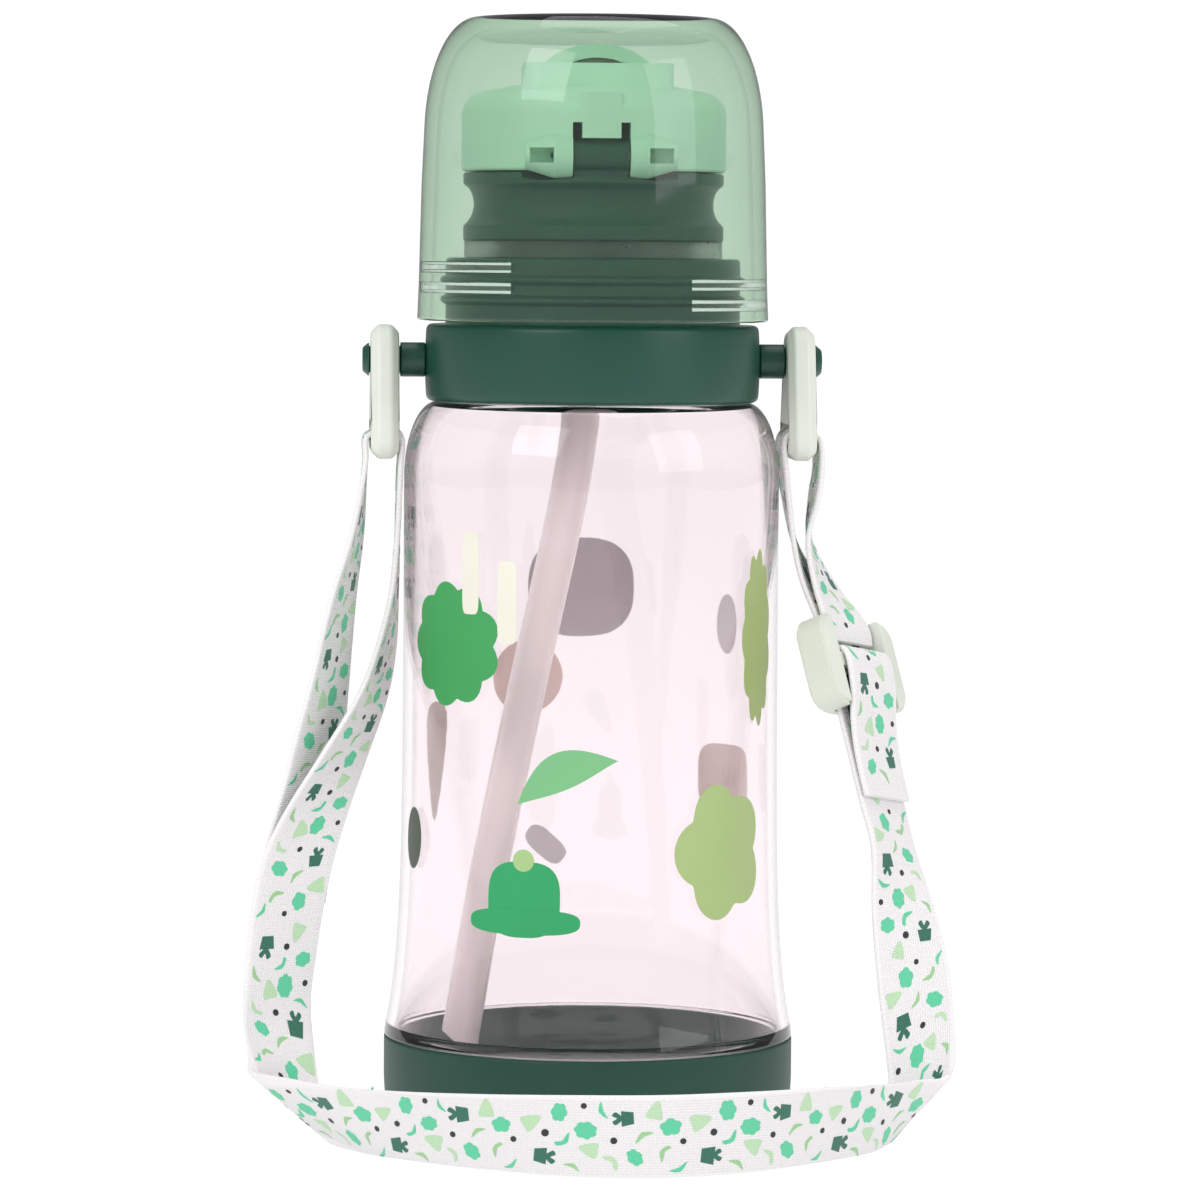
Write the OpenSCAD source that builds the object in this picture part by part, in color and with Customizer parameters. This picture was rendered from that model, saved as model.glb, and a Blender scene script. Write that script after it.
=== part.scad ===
// Kids water bottle: clear body in a soft boot, screwed collar with strap studs,
// drinking lid with spout and straw, flip cap, dust cup, and a printed shoulder strap.
// The origin is the centre of the boot's underside; the cap's hinge is on the -Y side.

/* [Body and boot] */
// Diameter of the boot and of the body's foot
base_d = 75.2; // [66:0.2:90]
// Diameter of the body where a hand holds it
waist_d = 68.8; // [62:0.2:80]
// Height of the shoulder, where the collar sits
body_h = 130; // [108:1:156]
// Wall of the clear body
body_wall = 1.8; // [1.2:0.1:2.6]
// Height of the soft boot
boot_h = 13.6; // [10:0.2:18]
// Wall of the soft boot
boot_wall = 1.8; // [1.2:0.1:2.4]
// Outside diameter of the body's neck
neck_d = 48.6; // [46:0.2:50]

/* [Collar and strap studs] */
// Outside diameter of the collar's band
collar_d = 61.3; // [59:0.1:68]
// Height of the collar's band
band_h = 14.1; // [11:0.1:17]
// Outside diameter of the collar's upper neck, which takes the cup
collar_neck_d = 53.9; // [53.4:0.1:56]
// Height of the collar's upper neck
collar_neck_h = 12.1; // [11:0.1:14]
// Diameter of the opening that the drinking lid plugs
mouth_d = 40.6; // [38:0.2:42]
// Diameter of the studs that carry the strap's clips
stud_d = 6.3; // [5:0.1:7]
// Gap between the collar and a clip
clip_gap = 4.8; // [3.8:0.1:6]

/* [Lid and spout] */
// Diameter of the drinking lid's flanges
lid_d = 47.6; // [46:0.1:50]
// Height of the drinking lid above its gasket
lid_h = 12.4; // [11:0.1:15]
// Depth of the finger groove around the lid
groove = 1.95; // [1:0.05:2.2]
// Height of the soft spout
spout_h = 15.2; // [12:0.1:16]

/* [Flip cap] */
// Diameter of the flip cap
cap_d = 48.4; // [47:0.1:51]
// Height of the cap's round shell
cap_h = 14.7; // [13.5:0.1:17]
// Wall of the cap
cap_wall = 2.4; // [1.8:0.1:2.6]
// Width of the raised block over the hinge
block_w = 26.6; // [24:0.1:29]
// Diameter of the hinge's pin
pin_d = 2; // [1.6:0.1:2.2]

/* [Cup] */
// Diameter of the cup at its rim
cup_d = 64.5; // [63.8:0.1:72]
// Height of the cup
cup_h = 55.2; // [54.8:0.1:66]
// Wall of the cup
cup_wall = 2.4; // [1.8:0.1:2.6]

/* [Straw] */
// Outside diameter of the straw
straw_d = 7; // [6:0.1:8]
// Bore of the straw
straw_bore = 5; // [4:0.1:5.6]
// Gap between the straw's tip and the floor of the body
straw_gap = 4.4; // [3:0.1:8]

/* [Strap] */
// Width of the webbing
strap_w = 15; // [12:0.5:18]
// Thickness of the webbing
strap_t = 1; // [0.8:0.1:1.4]
// Thickness of the clips
clip_t = 5.2; // [4:0.1:7]

/* [Clearances] */
// Clearance around pins and studs that turn
turn_fit = 0.1; // [0.05:0.05:0.2]
// Clearance between pieces that are pressed or screwed together
seat_fit = 0.1; // [0.05:0.05:0.2]
// Clearance between the cap and the lid around the hinge
swing_fit = 0.3; // [0.2:0.05:0.4]

/* [Hidden] */
$fn = 96;

// --- heights and radii shared by the pieces ---
base_r = base_d / 2;
waist_r = waist_d / 2;
neck_r = neck_d / 2;
boot_floor = 3;                            // thickness of the boot's floor
body_z = boot_floor + seat_fit;            // underside of the clear body
body_floor = 3;                            // thickness of the body's floor
inner_z = body_z + body_floor;             // floor that the water stands on
foot_r = base_r - boot_wall - seat_fit;    // body's radius inside the boot
shoulder_h = 14;                           // height of the rounded shoulder
shoulder_in = 6;                           // how far the shoulder turns in
flare_len = 14;                            // length over which the foot's flare dies away
thread_h = 0.6;                            // how far a thread stands out
neck_top = body_h + 19;                    // rim of the body's neck

collar_r = collar_d / 2;
collar_z = body_h + seat_fit;              // underside of the collar
band_top = collar_z + band_h;
collar_top = band_top + collar_neck_h;
collar_neck_r = collar_neck_d / 2;
collar_bore_r = neck_r + thread_h + 0.3;   // bore that screws over the body's neck
mouth_r = mouth_d / 2;
cup_thread = 0.95;                         // how far the cup's thread stands off the collar
seal_h = 2;                                // thickness of the seal on the body's rim

stud_r = stud_d / 2;
stud_z = collar_z + 0.53 * band_h;         // axis that the clips turn on
stud_neck_r = stud_r - 0.75;
clip_x = collar_r + clip_gap;              // inner face of a clip
clip_mid = clip_x + clip_t / 2;

lid_r = lid_d / 2;
gasket_h = 2.9;                            // height of the clear gasket under the lid
lid_z = collar_top + seat_fit + gasket_h;  // underside of the lid's lower flange
lid_top = lid_z + lid_h;
plug_r = mouth_r - 0.4 - 0.3;              // plug that passes the collar's mouth
plug_len = 12.4;                           // how deep the plug reaches below the flange
spout_y = 1.5;                             // the spout stands a little forward of centre
tube_r = 2.3;                              // nipple that the straw's sleeve grips
spout_bore = 1.6;

cap_r = cap_d / 2;
cap_z = lid_top + swing_fit;               // underside of the cap's skirt
hinge_y = -(cap_r - 2.9);                  // hinge axis, along X
hinge_z = cap_z + 2.6;
boss_r = 4.1;                              // mint ears around the hinge
boss_x0 = 5.07;
boss_x1 = 8.06;
groove_x = 13.3;                           // end of the ears' flare
groove_half = 1.35;                        // half height of the grooves beside the ears
groove_len = 4.2;
pin_r = pin_d / 2;
barrel_r = 2.9;                            // lid's hinge barrel between the ears
vault_r = 14;                              // arch over the spout
vault_z = cap_z + 9.4;                     // centre of the arch
vault_back = -10;
vault_front = 8;
cavity_r = 8;                              // room for the spout inside the cap
cavity_top = cap_z + 18.2;
block_top = cap_z + 19.3;

cup_r = cup_d / 2;
cup_z = band_top + 0.6;                    // rim of the cup
cup_top = cup_z + cup_h;
cup_side_r = cup_r - 1.25;                 // radius where the wall starts to turn in
lug_in_r = collar_neck_r + cup_thread + 0.5; // crest of the cup's thread lugs

straw_r = straw_d / 2;
straw_top = collar_top - 13.4;             // where the straw hangs from its sleeve
straw_tip = inner_z + straw_gap;

// Points of a circular arc in the radius-height plane, from angle a0 to a1
function arc(c, r, a0, a1, n = 8) =
    [for (i = [0:n]) let (a = a0 + (a1 - a0) * i / n) c + r * [cos(a), sin(a)]];

// Points of a cubic curve with end points a, d and handles b, c
function curve(a, b, c, d, n = 10) =
    [for (i = [0:n]) let (t = i / n, s = 1 - t)
        s*s*s * a + 3*s*s*t * b + 3*s*t*t * c + t*t*t * d];

// Outer radius of the clear body at height z: a foot that flares, a straight
// waist, and a shoulder that is a quarter ellipse
function flare(z) = (base_r - waist_r) * exp(-(z - boot_h - 1) / flare_len);
function turn_in(z) = let (t = max(0, (z - body_h + shoulder_h) / shoulder_h))
    shoulder_in * (1 - sqrt(max(0, 1 - t * t)));
function body_r(z) = min(base_r, waist_r + flare(z)) - turn_in(z);

// The heights at which the body's outline takes a point
body_rows = concat([for (i = [0:9]) boot_h + 0.4 + i * 5],
                   [for (i = [1:3]) boot_h + 45.4 + i * (body_h - shoulder_h - boot_h - 45.4) / 3],
                   [for (i = [1:9]) body_h - shoulder_h * (1 - sin(i * 10))]);

module ring(r_out, r_in, z0, z1) {
    translate([0, 0, z0]) difference() {
        cylinder(r = r_out, h = z1 - z0);
        translate([0, 0, -1]) cylinder(r = r_in, h = z1 - z0 + 2);
    }
}

// A rounded rib around the Z axis
module rib(r, stand, z, half) {
    rotate_extrude() polygon([[r - 0.4, z - half], [r, z - half], [r + stand, z - half / 3],
                              [r + stand, z + half / 3], [r, z + half], [r - 0.4, z + half]]);
}

// Mirrored copies on both sides
module both_sides() {
    children();
    mirror([1, 0, 0]) children();
}

/* ---------- bottle ---------- */
module bottle_body() {
    inner = [for (z = body_rows) if (z > inner_z + 6 && z < body_h - 2) [body_r(z) - body_wall, z]];
    color([0.95, 0.91, 0.93, 0.4]) union() {
        rotate_extrude() polygon(concat(
            [[0, body_z], [foot_r - 2, body_z]],
            arc([foot_r - 2, body_z + 2], 2, -80, 0, 5),
            [[foot_r, boot_h + 0.1], [base_r - 0.3, boot_h + 0.1]],
            [for (z = body_rows) [body_r(z), z]],
            [[neck_r, body_h], [neck_r, neck_top], [neck_r - body_wall, neck_top],
             [neck_r - body_wall, body_h - 1], [neck_r - body_wall + 1, body_h - 2]],
            [for (i = [len(inner) - 1:-1:0]) inner[i]],
            arc([foot_r - body_wall - 4, inner_z + 4], 4, 0, -90, 6),
            [[0, inner_z]]));
        for (z = [body_h + 7, body_h + 12]) rib(neck_r, thread_h, z, 0.9);
    }
}

module base_boot() {
    color([0.145, 0.333, 0.306]) difference() {
        rotate_extrude() polygon(concat(
            [[0, 0]],
            arc([base_r - 2.8, 2.5], 2.5, -90, -10, 7),
            [[base_r, 6], [base_r, boot_h - 0.5], [base_r - 0.4, boot_h],
             [base_r - boot_wall, boot_h], [base_r - boot_wall, boot_floor + 2]],
            arc([base_r - boot_wall - 2, boot_floor + 2], 2, -10, -90, 4),
            [[0, boot_floor]]));
        // shallow ring that keeps the foot from rocking
        ring(base_r - 7, base_r - 17, -1, 0.6);
    }
}

module collar() {
    top_web = 2.6;
    color([0.145, 0.333, 0.306]) difference() {
        union() {
            rotate_extrude() polygon(concat(
                [[neck_r, collar_z]],
                arc([collar_r - 1.35, collar_z + 1], 1, -90, -15, 4),
                [[collar_r, collar_z + 0.4 * band_h], [collar_r, collar_z + 0.65 * band_h]],
                arc([collar_r - 1.35, band_top - 1], 1, 15, 90, 4),
                [[collar_neck_r, band_top], [collar_neck_r, collar_top - 0.8],
                 [collar_neck_r - 0.25, collar_top - 0.25], [collar_neck_r - 0.8, collar_top],
                 [mouth_r, collar_top]]));
            for (z = [4.4, 8.1]) rib(collar_neck_r, cup_thread, band_top + z, 0.9);
        }
        translate([0, 0, collar_z - 1])
            cylinder(r = collar_bore_r, h = collar_top - top_web - collar_z + 1);
        translate([0, 0, collar_z - 1]) cylinder(r = mouth_r, h = collar_top - collar_z + 2);
        both_sides() translate([collar_r - 3, 0, stud_z]) rotate([0, 90, 0])
            cylinder(r = stud_r - 0.5, h = 4);
    }
    color([0.145, 0.333, 0.306]) rotate_extrude()
        polygon([[collar_bore_r + 0.1, body_h + 8.4], [neck_r + 0.15, body_h + 9.1],
                 [neck_r + 0.15, body_h + 9.9], [collar_bore_r + 0.1, body_h + 10.6]]);
}

module body_seal() {
    color([0.9, 0.9, 0.9]) ring(neck_r, neck_r - body_wall - 0.6, neck_top, neck_top + seal_h);
}

// A moulded stud: a plug in the collar, a shank, a thin neck and a button head
module stud() {
    head_x = clip_x + clip_t + 0.25;
    color([0.145, 0.333, 0.306]) translate([0, 0, stud_z]) rotate([0, 90, 0]) {
        translate([0, 0, collar_r - 3]) cylinder(r = stud_r - 0.5, h = 3.2);
        translate([0, 0, collar_r]) cylinder(r = stud_r, h = clip_gap - 0.25);
        translate([0, 0, collar_r]) cylinder(r = stud_neck_r, h = head_x - collar_r + 0.2);
        translate([0, 0, head_x]) cylinder(r1 = stud_r, r2 = stud_r - 1, h = 1.2);
    }
}

module stud_right() { stud(); }
module stud_left() { mirror([1, 0, 0]) stud(); }

/* ---------- drinking lid ---------- */
module drink_lid() {
    groove_z = lid_z + 7;
    color([0.145, 0.333, 0.306]) difference() {
        union() {
            difference() {
                rotate_extrude() polygon(concat(
                    [[0, lid_z - plug_len], [plug_r, lid_z - plug_len], [plug_r, lid_z],
                     [lid_r - 0.3, lid_z], [lid_r, lid_z + 0.4], [lid_r, lid_z + 2.8],
                     [lid_r - 0.5, lid_z + 3.3]],
                    curve([lid_r - 0.8, lid_z + 3.6], [lid_r - groove * 1.1, groove_z - 1.8],
                          [lid_r - groove * 1.2, groove_z + 1.2], [lid_r - 0.8, lid_top - 2.6], 8),
                    [[lid_r - 0.2, lid_top - 2.2], [lid_r, lid_top - 1.8],
                     [lid_r, lid_top - 0.3], [lid_r - 0.3, lid_top], [0, lid_top]]));
                // room for the cap's ears to turn
                translate([-groove_x - 0.4, hinge_y, hinge_z]) rotate([0, 90, 0])
                    cylinder(r = boss_r + swing_fit, h = 2 * groove_x + 0.8);
            }
            // hinge barrel and the rib under it
            translate([-boss_x0 + 0.27, hinge_y, hinge_z]) rotate([0, 90, 0])
                cylinder(r = barrel_r, h = 2 * boss_x0 - 0.54);
            translate([-boss_x0 + 0.27, hinge_y - 1.2, lid_top - 2.4])
                cube([2 * boss_x0 - 0.54, 6, hinge_z - lid_top + 2.4]);
        }
        // hollow underside, open at the bottom
        translate([0, 0, lid_z - plug_len - 1]) cylinder(r = plug_r - 2, h = plug_len + lid_h - 2);
        translate([0, spout_y, lid_z]) cylinder(r = tube_r, h = lid_h + 1);
        translate([10, 12, lid_z]) cylinder(r = 1.6, h = lid_h + 1);
        translate([-boss_x0 - 1, hinge_y, hinge_z]) rotate([0, 90, 0])
            cylinder(r = pin_r, h = 2 * boss_x0 + 2);
    }
    // nipple that the straw's sleeve is pushed onto
    color([0.145, 0.333, 0.306]) translate([0, spout_y, lid_z - 6]) difference() {
        cylinder(r = tube_r + 1.2, h = 6 + lid_h - 3 + 0.2);
        translate([0, 0, -1]) cylinder(r = tube_r, h = 8 + lid_h);
    }
}

module lid_gasket() {
    color([0.93, 0.95, 0.95, 0.5])
        ring(lid_r - 0.2, plug_r + 0.1, collar_top + seat_fit, lid_z);
}

// Soft mouthpiece: a collar that grips the lid, and a bulb with a slanted top
module spout() {
    color([0.88, 0.88, 0.88]) translate([0, spout_y, lid_top]) difference() {
        rotate_extrude() polygon(concat(
            [[0, 0], [6.8, 0], [6.8, 0.9], [5.2, 1.6]],
            curve([4.9, 3], [4.2, 7], [6, 9], [5.6, spout_h - 2.6], 8),
            arc([3.4, spout_h - 2.2], 2.2, 0, 90, 5),
            [[0, spout_h]]));
        translate([0, 0, -1]) cylinder(r = spout_bore, h = spout_h + 2);
    }
}

module vent_valve() {
    color([0.88, 0.88, 0.88]) translate([10, 12, 0]) {
        translate([0, 0, lid_top]) cylinder(r = 2.8, h = 0.6);
        translate([0, 0, lid_top - 5]) cylinder(r = 1.5, h = 5.2);
    }
}

module straw_sleeve() {
    sleeve_r = straw_r + 0.9;
    color([0.88, 0.88, 0.88]) translate([0, spout_y, 0]) difference() {
        translate([0, 0, straw_top - 3]) cylinder(r = sleeve_r + 1, h = lid_z - straw_top + 2);
        translate([0, 0, straw_top - 4]) cylinder(r = sleeve_r, h = 5.2);
        translate([0, 0, straw_top - 4]) cylinder(r = tube_r, h = lid_z - straw_top + 6);
        translate([0, 0, lid_z - 6 - 0.05]) cylinder(r = tube_r + 1.2, h = 12);
    }
}

module hinge_pin() {
    color([0.75, 0.75, 0.75]) translate([-boss_x1 + 0.3, hinge_y, hinge_z]) rotate([0, 90, 0])
        cylinder(r = pin_r, h = 2 * boss_x1 - 0.6);
}

// The straw's centre line, from its sleeve to its tip: it leans to the left
straw_lean = [[0, 0], [-1, 0.07], [-4.4, 0.24], [-12, 0.51], [-18.6, 0.76], [-24, 1]];
function straw_at(i) = let (p = straw_lean[i])
    [p[0], spout_y * (1 - p[1]), straw_top - (straw_top - straw_tip) * p[1]];

module straw() {
    n = 12;
    rows = spline([for (i = [0:len(straw_lean) - 1]) straw_at(i)], 4);
    count = len(rows);
    outer = [for (k = [0:count - 1]) tube_ring(rows, k, straw_r, n)];
    inner = [for (k = [0:count - 1]) tube_ring(rows, k, straw_bore / 2, n)];
    all_rings = concat(outer, [for (k = [count - 1:-1:0]) inner[k]]);
    m = len(all_rings);
    color([0.95, 0.91, 0.92, 0.7]) polyhedron(
        points = [for (ring_points = all_rings) each ring_points],
        faces = [for (k = [0:m - 1], j = [0:n - 1])
            let (a = k * n + j, b = k * n + (j + 1) % n, k2 = ((k + 1) % m) * n)
            each [[a, k2 + (j + 1) % n, b], [a, k2 + j, k2 + (j + 1) % n]]]);
}

/* ---------- sweeping helpers ---------- */
// Catmull-Rom curve through points of any dimension, with n steps to a span
function spline(p, n) = let (last = len(p) - 1) concat(
    [for (i = [0:last - 1], k = [0:n - 1]) let (
        t = k / n, a = p[max(0, i - 1)], b = p[i], c = p[i + 1], d = p[min(last, i + 2)])
        0.5 * (2 * b + (c - a) * t + (2 * a - 5 * b + 4 * c - d) * t * t
               + (3 * b - a - 3 * c + d) * t * t * t)],
    [p[last]]);

function unit(v) = v / norm(v);
function along(p, k) = unit(p[min(len(p) - 1, k + 1)] - p[max(0, k - 1)]);

// A ring of n points around a path, square to it
function tube_ring(p, k, r, n) = let (t = along(p, k), u = unit(cross(t, [0, 1, 0])), v = cross(t, u))
    [for (j = [0:n - 1]) p[k] + r * (cos(360 * j / n) * u + sin(360 * j / n) * v)];

// A strip of webbing: each row of the list holds the strip's two edge points, left and right
// as six numbers, and the strip is as thick as the webbing
module webbing(rows, steps = 2) {
    s = spline(rows, steps);
    mid = [for (q = s) ([q[0], q[1], q[2]] + [q[3], q[4], q[5]]) / 2];
    half = [for (k = [0:len(s) - 1]) let (q = s[k],
        across = [q[3], q[4], q[5]] - [q[0], q[1], q[2]])
        unit(cross(along(mid, k), across)) * strap_t / 2];
    pts = [for (k = [0:len(s) - 1]) let (q = s[k], a = [q[0], q[1], q[2]], b = [q[3], q[4], q[5]])
        each [a - half[k], b - half[k], b + half[k], a + half[k]]];
    last = len(s) - 1;
    color([0.93, 0.9, 0.92]) polyhedron(points = pts, faces = concat(
        [[0, 1, 2], [0, 2, 3]],
        [[4 * last, 4 * last + 2, 4 * last + 1], [4 * last, 4 * last + 3, 4 * last + 2]],
        [for (k = [0:last - 1], j = [0:3]) let (a = 4 * k + j, b = 4 * k + (j + 1) % 4)
            each [[a, b + 4, b], [a, a + 4, b + 4]]]));
}

/* ---------- flip cap ---------- */
// Everything solid about the cap before its hollows are taken out
module cap_shell() {
    rotate_extrude() polygon(concat(
        [[0, cap_z], [cap_r - 0.4, cap_z], [cap_r, cap_z + 0.4]],
        arc([cap_r - 4.5, cap_z + cap_h - 4.5], 4.5, 0, 80, 8),
        [[cap_r - 9, cap_z + cap_h + 1], [cap_r - 14, cap_z + cap_h + 1.6],
         [0, cap_z + cap_h + 2]]));
    // raised block over the hinge, its back corners rounded
    intersection() {
        translate([0, 0, cap_z + 6]) linear_extrude(block_top - cap_z - 6) polygon(concat(
            [[block_w / 2, 2]], arc([block_w / 2 - 3, -cap_r + 10.2], 3, 0, -90, 5),
            arc([-block_w / 2 + 3, -cap_r + 10.2], 3, -90, -180, 5), [[-block_w / 2, 2]]));
        rotate_extrude() polygon([[0, cap_z], [cap_r + 1, cap_z], [cap_r + 1, block_top - 3],
                                  [cap_r - 2, block_top], [0, block_top]]);
    }
    // arch over the spout, with a round front
    intersection() {
        union() {
            translate([0, vault_back, vault_z]) rotate([-90, 0, 0])
                cylinder(r = vault_r, h = vault_front - vault_back);
            translate([0, vault_front, vault_z]) sphere(r = vault_r);
        }
        translate([0, 0, cap_z + 8]) cylinder(r = cap_r - 0.3, h = 30);
    }
    // ears around the hinge, flaring into the skirt
    both_sides() translate([boss_x0, hinge_y, hinge_z]) rotate([0, 90, 0]) {
        cylinder(r = boss_r, h = boss_x1 - boss_x0);
        translate([0, 0, boss_x1 - boss_x0])
            cylinder(r1 = boss_r, r2 = 2.5, h = groove_x - boss_x1);
    }
    // lip for the thumb, opposite the hinge
    translate([-8, cap_r - 2, cap_z + 0.6]) cube([16, 4, 2.6]);
}

module flip_cap() {
    slot_top = cap_z + 8.5;
    color([0.72, 0.87, 0.78]) difference() {
        union() {
            difference() {
                cap_shell();
                // hollow over the lid
                translate([0, 0, cap_z - 5]) cylinder(r = cap_r - cap_wall, h = cap_h - 2.4 + 5);
                // gap between the ears, for the lid's barrel
                translate([-boss_x0, -cap_r - 4, cap_z - 4])
                    cube([2 * boss_x0, 12, slot_top - cap_z + 4]);
            }
            // inner walls that carry the ears
            both_sides() intersection() {
                translate([boss_x0, hinge_y - 2.4, hinge_z]) cube([3, 6.4, 8]);
                translate([0, 0, cap_z]) cylinder(r = cap_r - 0.2, h = cap_h - 1);
            }
            both_sides() translate([boss_x0, hinge_y, hinge_z]) rotate([0, 90, 0])
                cylinder(r = boss_r, h = 3);
            // tongue that hides the barrel
            intersection() {
                translate([-3.4, -cap_r - 1, hinge_z + barrel_r + 0.2]) cube([6.8, 5.4, 8]);
                translate([0, 0, cap_z]) cylinder(r = cap_r, h = cap_h - 1);
            }
        }
        translate([0, spout_y, cap_z]) cylinder(r = cavity_r, h = cavity_top - cap_z);
        // the pin's holes, drilled through from outside
        translate([-groove_x, hinge_y, hinge_z]) rotate([0, 90, 0])
            cylinder(r = pin_r + turn_fit, h = 2 * groove_x);
        // grooves beside the ears, through which the pin is pushed in
        both_sides() {
            translate([boss_x1 + 0.3, hinge_y, hinge_z]) rotate([0, 90, 0])
                cylinder(r = groove_half, h = groove_len);
            translate([boss_x1 + 0.3, hinge_y - 8, hinge_z - groove_half])
                cube([groove_len, 8, 2 * groove_half]);
        }
        // recess in the arch's back
        translate([0, vault_back - 1, vault_z]) rotate([-90, 0, 0])
            cylinder(r = vault_r - 2.7, h = 2.5);
    }
}

module cap_insert() {
    color([0.3, 0.33, 0.33]) intersection() {
        translate([0, vault_back + 0.6, vault_z]) rotate([-90, 0, 0])
            cylinder(r = vault_r - 2.7 - seat_fit, h = 0.9 - seat_fit);
        translate([-vault_r, vault_back, block_top + 0.1]) cube([2 * vault_r, 4, 8]);
    }
}

// Soft disc that closes the spout's mouth
module cap_seal() {
    color([0.88, 0.88, 0.88]) translate([0, spout_y, 0])
        ring(cavity_r - seat_fit, 1.5, lid_top + spout_h + 0.25, cavity_top);
}

/* ---------- cup ---------- */
module cup() {
    shoulder_z = cup_top - 20;
    rim_r = cup_r;
    color([0.35, 0.75, 0.6, 0.35]) {
        rotate_extrude() polygon(concat(
            [[rim_r - cup_wall, cup_z], [rim_r - 0.4, cup_z], [rim_r, cup_z + 0.4],
             [rim_r - 0.35, cup_z + 6], [rim_r - 0.8, cup_z + 25]],
            curve([cup_side_r, shoulder_z], [cup_side_r - 0.4, shoulder_z + 11.5],
                  [cup_side_r - 4.5, cup_top], [cup_side_r - 9.5, cup_top], 12),
            [[0, cup_top], [0, cup_top - cup_wall]],
            curve([cup_side_r - 10.5, cup_top - cup_wall], [cup_side_r - 6.5, cup_top - cup_wall],
                  [cup_side_r - 0.4 - cup_wall, shoulder_z + 10],
                  [cup_side_r - cup_wall, shoulder_z], 12),
            [[rim_r - 0.8 - cup_wall, cup_z + 25]]));
        // interrupted thread inside the rim: three pairs of lugs that step up around it
        for (i = [0:2]) rotate([0, 0, 120 * i + 62]) rotate_extrude(angle = 56)
            for (k = [0:1]) translate([0, cup_z + 2.4 + 3.7 * k + 1.45 * ((i + 1) % 3)])
                polygon([[lug_in_r, 0.3], [lug_in_r, 1.1], [rim_r - cup_wall + 0.2, 1.7],
                         [rim_r - cup_wall + 0.2, -0.3]]);
    }
}

/* ---------- strap ---------- */
slot_z = stud_z - 12.8;                    // middle of the clip's slot
clip_foot = stud_z - 18;                   // lower edge of the clip
clip_half = strap_w / 2 + 3;               // half width of the clip at its foot

// A clip: a rounded plate with a bore for the stud and a slot for the webbing
module clip() {
    edge = 1.4;
    color([0.85, 0.86, 0.82]) difference() {
        hull() {
            for (p = [[0, stud_z, 6.4], [clip_half - 4, clip_foot + 4, 4],
                      [4 - clip_half, clip_foot + 4, 4]])
                translate([clip_x, p[0], p[1]]) rotate([0, 90, 0]) {
                    translate([0, 0, edge]) cylinder(r = p[2], h = clip_t - 2 * edge, $fn = 32);
                    cylinder(r = p[2] - edge, h = clip_t, $fn = 32);
                }
        }
        translate([clip_x - 1, 0, stud_z]) rotate([0, 90, 0])
            cylinder(r = stud_neck_r + turn_fit, h = clip_t + 2);
        translate([clip_x - 1, -strap_w / 2 - 0.6, slot_z - 1.4])
            cube([clip_t + 2, strap_w + 1.2, 2.8]);
    }
}

module clip_right() { clip(); }
module clip_left() { mirror([1, 0, 0]) clip(); }

// Routes of the webbing, chosen by hand: each row is one line across the strap, from the
// outer or upper edge (x, y, z) to the inner or lower edge (x, y, z)
main_route = [
    [-38, -7.5, 124.8, -38, 7.5, 124.8], [-36.6, -7.5, 124.8, -36.6, 7.5, 124.8],
    [-35.5, -7.5, 124.3, -35.5, 7.5, 124.3], [-34.9, -7.5, 122.8, -34.9, 7.5, 122.8],
    [-34.9, -7.6, 121, -34.9, 7.4, 121], [-35.2, -8, 118, -35.2, 7, 118],
    [-35.8, -9.4, 106, -35.4, 5.6, 106],
    [-37, -12, 95, -35.6, 2.8, 95], [-39.8, -16, 85, -36, -1.6, 85],
    [-43.4, -22, 77, -37.6, -8.4, 76.5], [-50, -28.5, 67, -41.4, -16.4, 66],
    [-56, -33, 58, -44.6, -23.4, 57.4], [-60, -36, 50, -47.2, -28.2, 49.4],
    [-61.8, -38, 42, -49, -30.4, 41.4], [-62.8, -39.6, 33, -50.4, -31.4, 32.6],
    [-63.4, -41, 24, -51.4, -33, 22], [-62.6, -38.4, 15.4, -49.4, -41, 6.4],
    [-62.4, -39, 12.6, -48.2, -46, 1.6], [-60.8, -41.2, 12.2, -46.8, -48.6, 0.7],
    [-56, -46.6, 12.2, -44.6, -51.4, 0.4], [-48, -56, 12.2, -41, -56.2, 0.3],
    [-37.4, -66, 12.8, -35.4, -61.8, 0.3], [-24, -76, 13.8, -22.8, -71.6, 0.3],
    [-8, -82.6, 14.6, -8, -79.6, 0.3], [8, -84, 14.8, 8, -81.4, 0.3],
    [24, -79, 14.6, 23.2, -76.4, 0.3], [38, -69, 13.8, 36.4, -66.2, 0.3],
    [48.6, -58, 12.6, 46, -56.6, 0.3], [56.6, -48.6, 12, 49.4, -50.4, 0.6],
    [61.4, -42, 11.4, 50.8, -48.2, 1.2], [63.4, -39.4, 13.6, 51.2, -46, 3.4],
    [63.6, -36, 20, 51, -41.2, 13], [63, -30.6, 30, 49.8, -36.8, 26],
    [61, -24, 40, 49, -32.6, 39.4], [58.4, -17.2, 48.9, 49.2, -28.8, 51.1],
    [56.6, -14.2, 56.9, 47.4, -25.8, 59.1], [53, -8.2, 72.9, 43.8, -19.8, 75.1],
    [50.1, -3.4, 85.7, 40.9, -15, 87.9], [49.4, -2.2, 88.9, 40.2, -13.8, 91.1],
    [42.8, 3.4, 96.6, 37.8, -10.4, 98],
    [38.2, 6.6, 104, 36.6, -8.2, 104.6], [36.2, 7.5, 112, 35.8, -7.5, 112],
    [35.2, 7.5, 118, 35.2, -7.5, 118], [34.9, 7.5, 121, 34.9, -7.5, 121],
    [34.9, 7.5, 122.8, 34.9, -7.5, 122.8], [35.5, 7.5, 124.3, 35.5, -7.5, 124.3],
    [36.6, 7.5, 124.8, 36.6, -7.5, 124.8], [38, 7.5, 124.8, 38, -7.5, 124.8]];

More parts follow.
